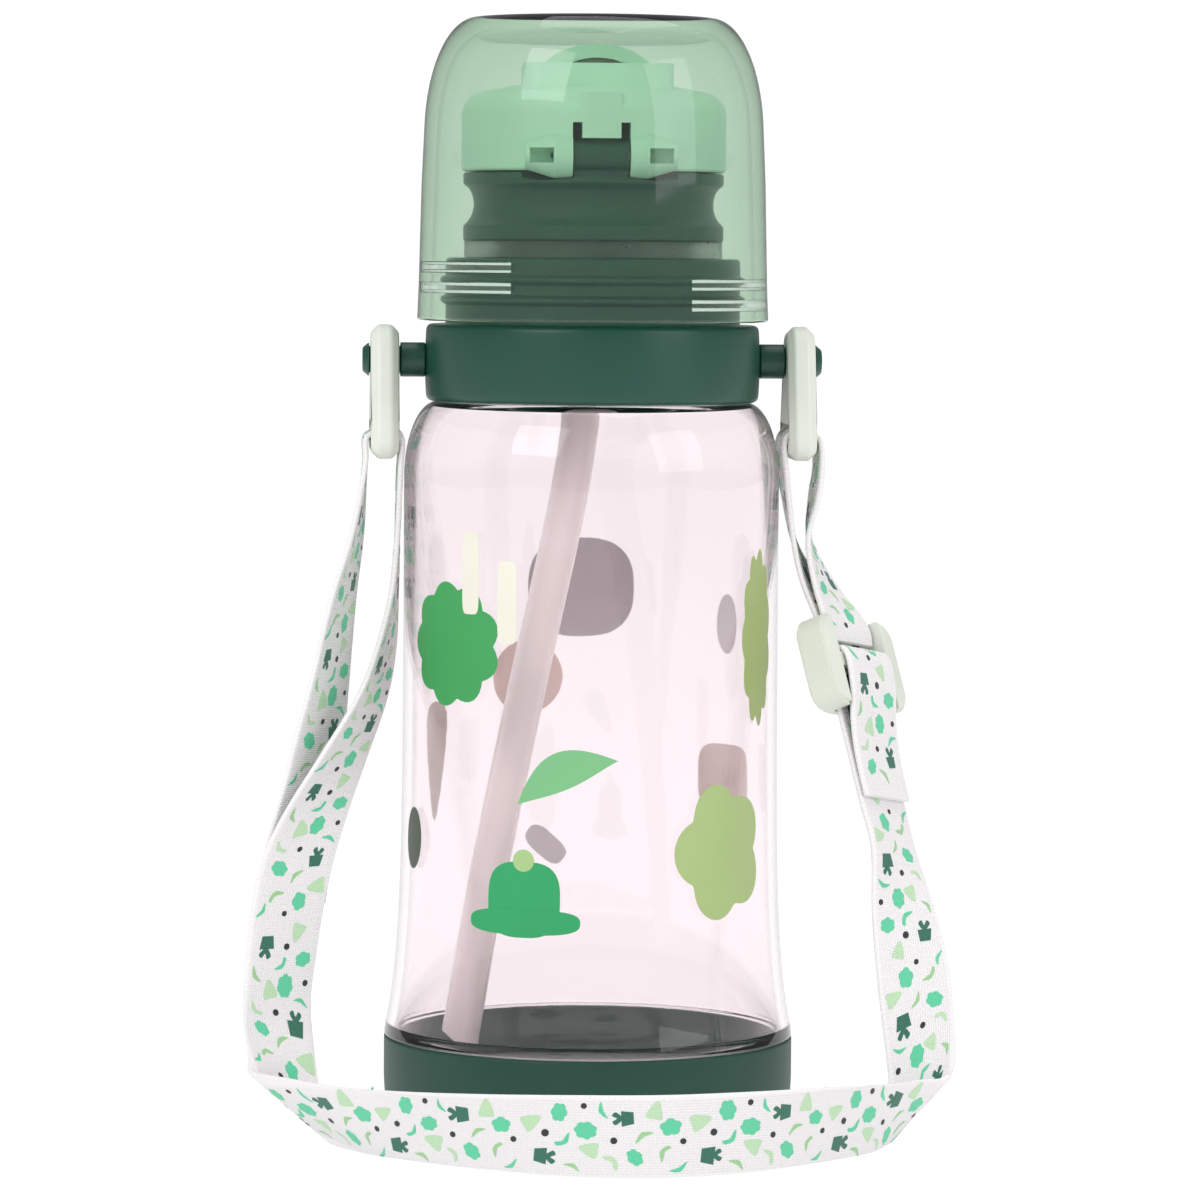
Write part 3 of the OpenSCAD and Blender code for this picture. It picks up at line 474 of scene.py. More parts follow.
def turned(outline, steps=160, start=0.0, sweep=360.0):
    """Vertices and faces of an outline (radius, height) turned about the Z axis. The outline runs from the bottom
    up its outside and down its inside; an end on the axis closes in a pole, and any other outline is a loop."""
    outline = np.asarray(outline, float)
    keep = np.ones(len(outline), bool)
    keep[1:] = np.linalg.norm(np.diff(outline, axis=0), axis=1) > 1e-4
    outline = outline[keep]
    on_axis = (outline[0, 0] < 1e-6, outline[-1, 0] < 1e-6)
    ring = outline[(1 if on_axis[0] else 0):(len(outline) - 1 if on_axis[1] else None)]
    full = sweep >= 360
    count = steps if full else steps + 1
    angle = np.radians(start + np.arange(count) * sweep / steps)
    n = len(ring)
    verts = np.stack([ring[None, :, 0] * np.cos(angle)[:, None], ring[None, :, 0] * np.sin(angle)[:, None],
                      np.broadcast_to(ring[None, :, 1], (count, n))], -1).reshape(-1, 3)
    looped = not (on_axis[0] or on_axis[1])
    i = np.arange(count if full else count - 1)[:, None]
    j = np.arange(n if looped else n - 1)[None, :]
    i2, j2 = (i + 1) % count, (j + 1) % n
    quads = np.stack([i * n + j, i2 * n + j, i2 * n + j2, i * n + j2], -1).reshape(-1, 4).tolist()
    for end, first in ((0, True), (1, False)):
        if on_axis[end]:
            pole = len(verts)
            verts = np.vstack([verts, [[0, 0, outline[-end, 1] if end else outline[0, 1]]]])
            k = np.arange(count)
            k2 = (k + 1) % count
            edge = 0 if first else n - 1
            a, b = k * n + edge, k2 * n + edge
            tris = np.stack([b, a, np.full(count, pole)], -1) if first else np.stack(
                [a, b, np.full(count, pole)], -1)
            quads += tris.tolist()
    if not full:
        quads.append(list(range(n))[::-1])
        quads.append([(count - 1) * n + k for k in range(n)])
    return verts, quads


def spline(points, step):
    """Catmull-Rom curve through points of any dimension, with about one sample for every step of length."""
    p = np.asarray(points, float)
    ends = np.vstack([p[:1], p, p[-1:]])
    out = []
    for k in range(len(p) - 1):
        a, b, c, d = ends[k:k + 4]
        n = max(2, int(np.linalg.norm((c - b)[:3]) / step))
        t = np.arange(n)[:, None] / n
        out.append(0.5 * (2 * b + (c - a) * t + (2 * a - 5 * b + 4 * c - d) * t ** 2
                          + (3 * b - a - 3 * c + d) * t ** 3))
    return np.vstack(out + [p[-1:]])


def unit(v):
    """Vectors scaled to length one."""
    return v / np.linalg.norm(v, axis=-1, keepdims=True)


# ---------------------------------------------------------------- bottle body


def body_radius(z):
    """The body's radius at a height: a foot that flares and dies away, a straight waist, and an
    elliptic shoulder."""
    flare = (BASE_R - WAIST_R) * np.exp(-(z - BOOT_H - 1) / FLARE)
    t = np.clip((z - BODY_H + SHOULDER) / SHOULDER, 0, 1)
    return np.minimum(BASE_R, WAIST_R + flare) - SHOULDER_IN * (1 - np.sqrt(1 - t ** 2))


def clear_body():
    """The clear body: an even wall inside and out, a thick floor, a neck with two threads."""
    rise = np.linspace(BOOT_H + 0.5, BODY_H - SHOULDER, 70)
    turn = BODY_H - SHOULDER * (1 - np.sin(np.radians(np.linspace(4, 86, 22))))
    heights = np.concatenate([rise, turn])
    outer = np.stack([body_radius(heights), heights], -1)
    inner = heights[(heights > INNER_Z + 9) & (heights < BODY_H - 1.5)][::-1]
    neck = [(NECK_R + 1.4, BODY_H, 0.4), (NECK_R, BODY_H + 0.3, 0.3)]
    for z in (BODY_H + 7, BODY_H + 12):
        neck += [(NECK_R, z - 0.9, 0.2), (NECK_R + 0.6, z - 0.3, 0.2), (NECK_R + 0.6, z + 0.3, 0.2),
                 (NECK_R, z + 0.9, 0.2)]
    bore = NECK_R - BODY_WALL
    outline = np.concatenate([
        corners((0, BODY_Z), (FOOT_R, BODY_Z, 2), (FOOT_R, BOOT_H + 0.1)),
        corners((BASE_R - 0.5, BOOT_H + 0.1), (BASE_R - 0.05, BOOT_H + 0.12, 0.15),
                (BASE_R - 0.03, BOOT_H + 0.45)),
        outer,
        corners((NECK_R + 2, BODY_H - 0.02), *neck, (NECK_R, NECK_TOP, 0.5), (bore, NECK_TOP, 0.5),
                (bore, BODY_H - 1, 1), (bore + 1.6, BODY_H - 1.9)),
        np.stack([body_radius(inner) - BODY_WALL, inner], -1),
        corners((FOOT_R - 2.0, INNER_Z + 7), (FOOT_R - 2.6, INNER_Z, 4), (0, INNER_Z))])
    verts, faces = turned(outline, 192)
    add_mesh("clear_body", verts, faces, CLEAR, "bottle", ["bottle_body"])


def soft_boot():
    """The boot: a rounded cup that the body stands in, with a shallow ring underneath."""
    outline = corners((0, 0), (BASE_R - 17, 0, 0.3), (BASE_R - 17, 0.6, 0.3), (BASE_R - 7, 0.6, 0.3),
                      (BASE_R - 7, 0, 0.3), (BASE_R - 0.4, 0, 3.2), (BASE_R, 5.5, 1.5), (BASE_R, BOOT_H, 0.6),
                      (BASE_R - BODY_WALL, BOOT_H, 0.4), (BASE_R - BODY_WALL, 3, 2), (0, 3))
    verts, faces = turned(outline, 192)
    add_mesh("soft_boot", verts, faces, BOOT, "bottle", ["base_boot"])


def screw_collar():
    """The collar: a rounded band, a neck with two thread ribs for the cup, a bore for the body's neck."""
    neck = []
    for z in (BAND_TOP + 4.4, BAND_TOP + 8.1):
        neck += [(COLLAR_NECK_R, z - 0.9, 0.2), (COLLAR_NECK_R + 0.95, z - 0.35, 0.25),
                 (COLLAR_NECK_R + 0.95, z + 0.35, 0.25), (COLLAR_NECK_R, z + 0.9, 0.2)]
    bore = NECK_R + 0.9
    verts, faces = turned(np.concatenate([corners(
        (bore, COLLAR_Z), (COLLAR_R - 0.25, COLLAR_Z, 1.2), (COLLAR_R, COLLAR_Z + 4, 2.4),
        (COLLAR_R, COLLAR_Z + 10, 2.4), (COLLAR_R - 0.25, BAND_TOP, 1.2), (COLLAR_NECK_R, BAND_TOP, 0.3), *neck,
        (COLLAR_NECK_R, COLLAR_TOP, 0.9), (20.3, COLLAR_TOP, 0.4), (20.3, COLLAR_TOP - 2.6, 0.3),
        (bore, COLLAR_TOP - 2.6, 0.4), (bore, COLLAR_Z + 0.1))]), 192)
    add_mesh("screw_collar", verts, faces, GREEN, "bottle", ["collar"])


def dust_cup():
    """The cup: a thin wall that turns in to a flat top, with three stepped pairs of thread lugs inside
    its rim."""
    side = CUP_R - 1.25
    shoulder = CUP_TOP - 20
    inner = CUP_R - CUP_WALL
    outline = np.concatenate([
        corners((inner, CUP_Z + 0.01), (CUP_R - 0.1, CUP_Z, 0.6), (CUP_R - 0.35, CUP_Z + 6, 2),
                (CUP_R - 0.8, CUP_Z + 25)),
        cubic((side, shoulder), (side - 0.4, shoulder + 11.5), (side - 4.5, CUP_TOP), (side - 9.5, CUP_TOP)),
        [[0, CUP_TOP], [0, CUP_TOP - CUP_WALL]]])
    inside = np.concatenate([
        [[0, CUP_TOP - CUP_WALL]],
        cubic((side - 10.5, CUP_TOP - CUP_WALL), (side - 6.5, CUP_TOP - CUP_WALL),
              (side - 0.4 - CUP_WALL, shoulder + 10), (side - CUP_WALL, shoulder)),
        [[CUP_R - 0.8 - CUP_WALL, CUP_Z + 25], [inner - 0.2, CUP_Z + 6], [inner, CUP_Z + 0.5]]])
    outer = outline[:-1]
    a_verts, a_faces = turned(outer, 192)
    b_verts, b_faces = turned(inside[::-1], 192)
    n = len(outer) - 1
    m = len(inside) - 1
    start = len(a_verts)
    verts = np.vstack([a_verts, b_verts])
    faces = a_faces + [[q + start for q in face][::-1] for face in b_faces]
    k = np.arange(192)
    k2 = (k + 1) % 192
    rim = np.stack([start + k * m, start + k2 * m, k2 * n, k * n], -1)
    faces += rim.tolist()
    for i in range(3):
        for row in range(2):
            z = CUP_Z + 2.4 + 3.7 * row + 1.45 * ((i + 1) % 3)
            wall = inner - 0.04
            lug = corners((LUG_R, z + 0.3), (wall, z - 0.3), (wall, z + 1.7), (LUG_R, z + 1.1))
            v, f = turned(lug, 28, 120 * i + 62, 56)
            faces += [[q + len(verts) for q in face] for face in f]
            verts = np.vstack([verts, v])
    add_mesh("dust_cup", verts, faces, TINTED, "cup", ["cup"])


def drinking_straw():
    """A tube carried along the straw's leaning centre line, its tip cut at a slant."""
    lean = np.array([[0, 0], [-1, 0.07], [-4.4, 0.24], [-12, 0.51], [-18.6, 0.76], [-24, 1]])
    line = np.stack([lean[:, 0], 1.5 * (1 - lean[:, 1]),
                     STRAW_TOP - (STRAW_TOP - STRAW_TIP) * lean[:, 1]], -1)
    path = spline(line, 1.2)
    along = unit(np.gradient(path, axis=0))
    u = unit(np.cross(along, [0, 1, 0]))
    v = np.cross(along, u)
    turn = np.radians(np.arange(36) * 10)
    circle = np.cos(turn)[None, :, None] * u[:, None] + np.sin(turn)[None, :, None] * v[:, None]
    outer = path[:, None] + STRAW_R * circle
    inner = path[:, None] + STRAW_BORE_R * circle
    slant = np.clip((np.arange(len(path)) - len(path) + 8) / 7, 0, 1)[:, None, None]
    for wall in (outer, inner):
        wall += along[:, None] * slant * (np.cos(turn)[None, :, None] - 1) * 1.6
    shell = np.concatenate([outer, inner[::-1]])
    rows, sides = shell.shape[:2]
    i = np.arange(rows)[:, None]
    j = np.arange(sides)[None, :]
    i2, j2 = (i + 1) % rows, (j + 1) % sides
    faces = np.stack([i * sides + j, i2 * sides + j, i2 * sides + j2, i * sides + j2], -1).reshape(-1, 4)
    add_mesh("drinking_straw", shell.reshape(-1, 3), faces.tolist(), STRAW, "straw",
             ["straw"])


# ---------------------------------------------------------------- strap

# Each row is one line across the webbing, from one edge (x, y, z) to the other, in millimetres
MAIN_ROUTE = [
    [-38, -7.5, 124.8, -38, 7.5, 124.8], [-36.6, -7.5, 124.8, -36.6, 7.5, 124.8],
    [-35.5, -7.5, 124.3, -35.5, 7.5, 124.3], [-34.9, -7.5, 122.8, -34.9, 7.5, 122.8],
    [-34.9, -7.6, 121, -34.9, 7.4, 121], [-35.2, -8, 118, -35.2, 7, 118],
    [-35.8, -9.4, 106, -35.4, 5.6, 106],
    [-37, -12, 95, -35.6, 2.8, 95], [-39.8, -16, 85, -36, -1.6, 85],
    [-43.4, -22, 77, -37.6, -8.4, 76.5], [-50, -28.5, 67, -41.4, -16.4, 66],
    [-56, -33, 58, -44.6, -23.4, 57.4], [-60, -36, 50, -47.2, -28.2, 49.4],
    [-61.8, -38, 42, -49, -30.4, 41.4], [-62.8, -39.6, 33, -50.4, -31.4, 32.6],
    [-63.4, -41, 24, -51.4, -33, 22], [-62.6, -38.4, 15.4, -49.4, -41, 6.4],
    [-62.4, -39, 12.6, -48.2, -46, 1.6], [-60.8, -41.2, 12.2, -46.8, -48.6, 0.7],
    [-56, -46.6, 12.2, -44.6, -51.4, 0.4], [-48, -56, 12.2, -41, -56.2, 0.3],
    [-37.4, -66, 12.8, -35.4, -61.8, 0.3], [-24, -76, 13.8, -22.8, -71.6, 0.3],
    [-8, -82.6, 14.6, -8, -79.6, 0.3], [8, -84, 14.8, 8, -81.4, 0.3],
    [24, -79, 14.6, 23.2, -76.4, 0.3], [38, -69, 13.8, 36.4, -66.2, 0.3],
    [48.6, -58, 12.6, 46, -56.6, 0.3], [56.6, -48.6, 12, 49.4, -50.4, 0.6],
    [61.4, -42, 11.4, 50.8, -48.2, 1.2], [63.4, -39.4, 13.6, 51.2, -46, 3.4],
    [63.6, -36, 20, 51, -41.2, 13], [63, -30.6, 30, 49.8, -36.8, 26],
    [61, -24, 40, 49, -32.6, 39.4], [58.4, -17.2, 48.9, 49.2, -28.8, 51.1],
    [56.6, -14.2, 56.9, 47.4, -25.8, 59.1], [53, -8.2, 72.9, 43.8, -19.8, 75.1],
    [50.1, -3.4, 85.7, 40.9, -15, 87.9], [49.4, -2.2, 88.9, 40.2, -13.8, 91.1],
    [42.8, 3.4, 96.6, 37.8, -10.4, 98],
    [38.2, 6.6, 104, 36.6, -8.2, 104.6], [36.2, 7.5, 112, 35.8, -7.5, 112],
    [35.2, 7.5, 118, 35.2, -7.5, 118], [34.9, 7.5, 121, 34.9, -7.5, 121],
    [34.9, 7.5, 122.8, 34.9, -7.5, 122.8], [35.5, 7.5, 124.3, 35.5, -7.5, 124.3],
    [36.6, 7.5, 124.8, 36.6, -7.5, 124.8], [38, 7.5, 124.8, 38, -7.5, 124.8]]
LEFT_END_ROUTE = [
    [-38.1, -7.5, 124.8, -38.1, 7.5, 124.8], [-41.3, -7.5, 123.6, -41.3, 7.5, 123.6],
    [-41.7, -8.4, 118, -41.5, 6.6, 118], [-44.2, -12.6, 106, -42, 2.2, 106],
    [-48, -18, 94.4, -43.4, -3.8, 94], [-51.6, -22.4, 80, -44.6, -9.2, 79.6],
    [-54.4, -25.4, 70, -45.4, -13.4, 69.4], [-57, -29.2, 60, -46.2, -19, 59],
    [-59.6, -32.6, 51, -47.6, -24.2, 50], [-61.2, -35.8, 42, -48.8, -28.2, 41]]
RIGHT_END_ROUTE = [
    [38.1, 7.5, 124.8, 38.1, -7.5, 124.8], [41.3, 7.5, 123.6, 41.3, -7.5, 123.6],
    [41.8, 7.5, 118, 41.8, -7.5, 118], [41, 7.4, 112, 41, -7.6, 112],
    [41, 7, 104.6, 39.2, -8, 105.2], [45, 3, 96.8, 39.8, -11, 98.4],
    [50.5, -3, 89.4, 41.3, -14.6, 91.6], [51.4, -4.5, 85.4, 42.2, -16.1, 87.6]]


class Ribbon:
    """A strip of webbing: smooth rows of a left edge, a right edge, a middle and a normal, with lengths."""

    def __init__(self, rows, step=0.9):
        """The rows are smoothed, and each keeps the webbing's width along its line."""
        rows = np.asarray(rows, float)
        q = spline(rows, step)
        a, b = q[:, :3], q[:, 3:]
        self.middle = (a + b) / 2
        self.across = unit(b - a)
        self.half = np.linalg.norm(b - a, axis=1) / 2
        along = unit(np.gradient(self.middle, axis=0))
        self.out = unit(np.cross(along, self.across))
        steps = np.linalg.norm(np.diff(self.middle, axis=0), axis=1)
        self.length = np.concatenate([[0], np.cumsum(steps)])

    def place(self, u, v, lift):
        """Points on the strip: u across it and v along it in millimetres, lift out of its face."""
        mid = np.stack([np.interp(v, self.length, self.middle[:, k]) for k in range(3)], -1)
        side = unit(np.stack([np.interp(v, self.length, self.across[:, k]) for k in range(3)], -1))
        out = unit(np.stack([np.interp(v, self.length, self.out[:, k]) for k in range(3)], -1))
        return mid + side * np.asarray(u)[..., None] + out * np.asarray(lift)[..., None]

    def strip(self, thick=STRAP_T):
        """A closed strip with round selvedges: verts, faces and a UV of (across, along) in millimetres."""
        bend = np.radians(np.linspace(90, -90, 7))
        flat = np.linspace(-1, 1, 13)
        edge = thick / 2
        u = np.concatenate([flat, np.full(7, 1.0), flat[::-1], np.full(7, -1.0)])
        push = np.concatenate([flat * 0, np.cos(bend), flat * 0, np.cos(bend)])
        sign = np.concatenate([flat * 0, np.ones(7), flat * 0, -np.ones(7)])
        n = np.concatenate([flat * 0 + edge, np.sin(bend) * edge, flat * 0 - edge, -np.sin(bend) * edge])
        keep = np.r_[0:13, 14:19, 20:33, 34:39]
        u, push, sign, n = u[keep], push[keep], sign[keep], n[keep]
        reach = self.half[:, None] - edge
        offset = u[None] * reach + (sign * push)[None] * edge
        verts = (self.middle[:, None] + self.across[:, None] * offset[..., None]
                 + self.out[:, None] * n[None, :, None])
        rows, sides = offset.shape
        uv = np.stack([offset, np.broadcast_to(self.length[:, None], offset.shape)], -1)
        i = np.arange(rows - 1)[:, None]
        j = np.arange(sides)[None]
        j2 = (j + 1) % sides
        faces = np.stack([i * sides + j, i * sides + j2, (i + 1) * sides + j2, (i + 1) * sides + j], -1)
        faces = faces.reshape(-1, 4)[:, ::-1].tolist()
        faces.append(list(range(sides)))
        faces.append([(rows - 1) * sides + k for k in range(sides)][::-1])
        return verts.reshape(-1, 3), faces, uv.reshape(-1, 2)


def strap_piece(name, ribbon, node_name, body="strap"):
    """One length of the webbing, standing in for its CAD node."""
    verts, faces, uv = ribbon.strip()
    ob = add_mesh(name, verts, faces, WEBBING, body, [node_name], uv=uv)
    return ob


# Axes of the straight run that the buckle slides on: up it, across it, and out of its face
RUN_LOW = np.array([[56.6, -14.2, 56.9], [47.4, -25.8, 59.1]])
RUN_HIGH = np.array([[49.4, -2.2, 88.9], [40.2, -13.8, 91.1]])
RUN_UP = unit(RUN_HIGH.mean(0) - RUN_LOW.mean(0))
RUN_OUT = unit(np.cross(RUN_LOW[0] - RUN_LOW[1], RUN_UP))
RUN_ACROSS = np.cross(RUN_UP, RUN_OUT)
BUCKLE_AT = RUN_LOW.mean(0) + 0.75 * (RUN_HIGH.mean(0) - RUN_LOW.mean(0))
TAIL_BACK, TAIL_FRONT, TAIL_TURN = 1.2, 4.35, 2.05
TAIL_ROUTE = [[-7, TAIL_BACK], [-2, TAIL_BACK], [0.6, TAIL_BACK + 0.05], [TAIL_TURN, 2.08], [TAIL_TURN, 3.48],
              [0.6, TAIL_FRONT], [-2, TAIL_FRONT], [-6, TAIL_FRONT - 0.6], [-11, TAIL_BACK + 1.2],
              [-16, TAIL_BACK + 0.4], [-21, TAIL_BACK + 0.1], [-25.5, TAIL_BACK + 0.05]]


def tail_rows():
    """The free end's rows across the webbing, from its turn in the buckle's own axes."""
    half = STRAP_W / 2
    rows = []
    for up, out in TAIL_ROUTE:
        mid = BUCKLE_AT + up * RUN_UP + out * RUN_OUT
        rows.append(np.concatenate([mid + half * RUN_ACROSS, mid - half * RUN_ACROSS]))
    return np.array(rows)


# ---------------------------------------------------------------- prints


def decal(outlines, place, thick, spacing):
    """Thin closed prints. Each outline (closed, in flat millimetres) is filled with triangles on a grid of the
    given spacing, laid on a surface by place(u, v, lift), and given an even thickness above it."""
    all_verts, all_faces, all_uv, all_ink = [], [], [], []
    start = 0
    for outline, colour, level in outlines:
        o = np.asarray(outline, float)
        low, high = o.min(0), o.max(0)
        gu, gv = np.meshgrid(np.arange(low[0] + spacing / 2, high[0], spacing),
                             np.arange(low[1] + spacing / 2, high[1], spacing))
        grid = np.stack([gu.ravel(), gv.ravel()], -1)
        e1, e2 = o, np.roll(o, -1, 0)
        crosses = (e1[None, :, 1] > grid[:, None, 1]) != (e2[None, :, 1] > grid[:, None, 1])
        rise = np.where(e2[:, 1] == e1[:, 1], 1e-9, e2[:, 1] - e1[:, 1])
        at = (e2[:, 0] - e1[:, 0])[None] * (grid[:, None, 1] - e1[None, :, 1]) / rise[None] + e1[None, :, 0]
        inside = (crosses & (grid[:, None, 0] < at)).sum(1) % 2 == 1
        away = inside
        if len(grid):
            away = np.linalg.norm(grid[:, None] - o[None], axis=2).min(1) > spacing * 0.35
        pts = np.vstack([o, grid[inside & away]]) if len(grid) else o
        vs, _, tris, *_ = delaunay_2d_cdt([Vector(q) for q in pts], [], [list(range(len(o)))], 1, 1e-5)
        flat = np.array([tuple(q) for q in vs])
        tris = np.array([t for t in tris if len(t) == 3])
        a, b, c = flat[tris[:, 0]], flat[tris[:, 1]], flat[tris[:, 2]]
        turn = np.cross(b - a, c - a)
        tris[turn < 0] = tris[turn < 0][:, ::-1]
        lift = thick * level
        n = len(flat)
        top = place(flat[:, 0], flat[:, 1], np.full(n, lift + thick))
        bottom = place(flat[:, 0], flat[:, 1], np.full(n, lift))
        edges = np.concatenate([tris[:, [0, 1]], tris[:, [1, 2]], tris[:, [2, 0]]])
        keys = {tuple(e) for e in edges.tolist()}
        border = [e for e in edges.tolist() if (e[1], e[0]) not in keys]
        faces = (tris + start).tolist() + (tris[:, ::-1] + start + n).tolist()
        faces += [[start + e[0], start + n + e[0], start + n + e[1], start + e[1]] for e in border]
        all_verts += [top, bottom]
        all_uv += [flat, flat]
        all_ink.append(np.tile([*rgb(colour), 1], (2 * n, 1)))
        all_faces += faces
        start += 2 * n
    return np.vstack(all_verts), all_faces, np.vstack(all_uv), np.vstack(all_ink)


def smooth_loop(points, n=6):
    """A closed Catmull-Rom outline through a few given points."""
    p = np.asarray(points, float)
    k = len(p)
    t = np.arange(n)[:, None] / n
    out = []
    for i in range(k):
        a, b, c, d = p[i - 1], p[i], p[(i + 1) % k], p[(i + 2) % k]
        out.append(0.5 * (2 * b + (c - a) * t + (2 * a - 5 * b + 4 * c - d) * t ** 2
                          + (3 * b - a - 3 * c + d) * t ** 3))
    return np.vstack(out)


def lobed(cx, cy, rx, ry, lobes, depth, turn=0.0, n=72):
    """An ellipse whose edge swells into round lobes: its radius grows with the size of the sine of half as many
    turns as it has lobes."""
    a = np.linspace(0, 2 * np.pi, n, endpoint=False)
    r = 1 - depth + depth * 2 * np.abs(np.sin(lobes * a / 2 + turn))
    return np.stack([cx + rx * r * np.cos(a), cy + ry * r * np.sin(a)], -1)


def oval(cx, cy, rx, ry, turn=0.0, n=40):
    """An ellipse turned by an angle in degrees."""
    a = np.linspace(0, 2 * np.pi, n, endpoint=False)
    x, y = rx * np.cos(a), ry * np.sin(a)
    c, s = math.cos(math.radians(turn)), math.sin(math.radians(turn))
    return np.stack([cx + x * c - y * s, cy + x * s + y * c], -1)


def superoval(rx, ry, power=3.0, n=56):
    """A rounded block: x is rx times the cosine raised to 2/power with its sign kept, and y is ry times the sine
    raised in the same way."""
    a = np.linspace(0, 2 * np.pi, n, endpoint=False)
    x, y = np.cos(a), np.sin(a)
    return np.stack([rx * np.sign(x) * np.abs(x) ** (2 / power),
                     ry * np.sign(y) * np.abs(y) ** (2 / power)], -1)


def blade(length, half, bend, n=28):
    """A pointed leaf along x: its middle rises as a parabola, its half width is the sine of the way along."""
    t = np.linspace(0, 1, n)
    x, middle, wide = length * (t - 0.5), 4 * bend * t * (1 - t), half * np.sin(np.pi * t)
    upper = np.stack([x, middle + wide], -1)
    lower = np.stack([x, middle - wide], -1)
    return np.vstack([upper, lower[-2:0:-1]])


PRINT_GAP = 0.02               # the ink's underside above the body's wall
DEG = 180 / (math.pi * 34.5)   # degrees round the body for a millimetre


def on_body(u, v, lift):
    """Lays a print on the body's outside: u is the way round from the front in degrees, v the height."""
    angle = np.radians(np.asarray(u))
    r = body_radius(np.asarray(v, float)) + PRINT_GAP + np.asarray(lift)
    return np.stack([r * np.sin(angle), -r * np.cos(angle), v], -1)


def shape(points, around, height, turn=0.0):
    """An outline in millimetres, turned by degrees and set about a centre (degrees round, height)."""
    c, s = math.cos(math.radians(turn)), math.sin(math.radians(turn))
    p = np.asarray(points, float) @ np.array([[c, s], [-s, c]])
    return np.stack([around + p[:, 0] * DEG, height + p[:, 1]], -1)


def body_prints():
    """Plain garden shapes on the body, each by its own formula: lobed leaves, bars, blades, blocks and a
    dotted wedge."""
    near = [
        (shape(lobed(0, 0, 10.6, 10.6, 9, 0.07), -50, 87), "3fa35a", 0),
        (shape(superoval(1.9, 7.4, 6), -42, 100), "ece9da", 1.2),
        (shape(superoval(1.9, 7.4, 6), -29, 95), "ece9da", 1.2),
        (shape(blade(20, 3.4, 2.4), -10, 63, 24), "7dbf86", 0),
        (shape(superoval(6.8, 6.8), -23, 42), "2fa566", 0),
        (shape(superoval(10.4, 2.3), -23, 38), "2fa566", 1.2),
        (shape(oval(0, 0, 2, 2), -23, 49), "a9c98a", 1.2),
        (shape(oval(0, 0, 3.2, 5.6), -70, 51), "3d4a3c", 0),
        (shape(lobed(0, 0, 9.8, 11.2, 5, 0.12), 41, 50), "aabf80", 0),
        (shape(lobed(0, 0, 5, 15, 11, 0.08), 58, 88), "9fb070", 0)]
    far = [
        (shape(superoval(10.6, 9.4, 2.6), 180, 94), "c2bfc1", 0),
        (shape(oval(0, 0, 7.4, 7), -162, 77), "efdccf", 0),
        (shape(oval(0, 0, 3.2, 5.6), 125, 88), "dfe1df", 0),
        (shape(superoval(8, 6.4, 4), 125, 59), "e9dfd4", 0),
        (shape(smooth_loop([(-4.4, 9), (4.4, 9), (0, -11)]), -121, 62), "d8cfc0", 0),
        (shape(superoval(4.6, 2.3), -169, 45, 40), "dcdddb", 0),
        (shape(blade(8, 1.1, 0.8), -150, 52, 80), "a9c3a6", 0)]
    dots = [(shape(oval(1.2 * (-1) ** k, 7 - 2.9 * k, 0.75, 0.75, 0, 20), -121, 62), "f1eee6", 1.2)
            for k in range(5)]
    verts, faces, _, ink = decal(near + far + dots, on_body, 0.04, 1.6)
    add_mesh("body_prints", verts, faces, BODY_INK, "bottle", ink=ink, smooth_angle=60)


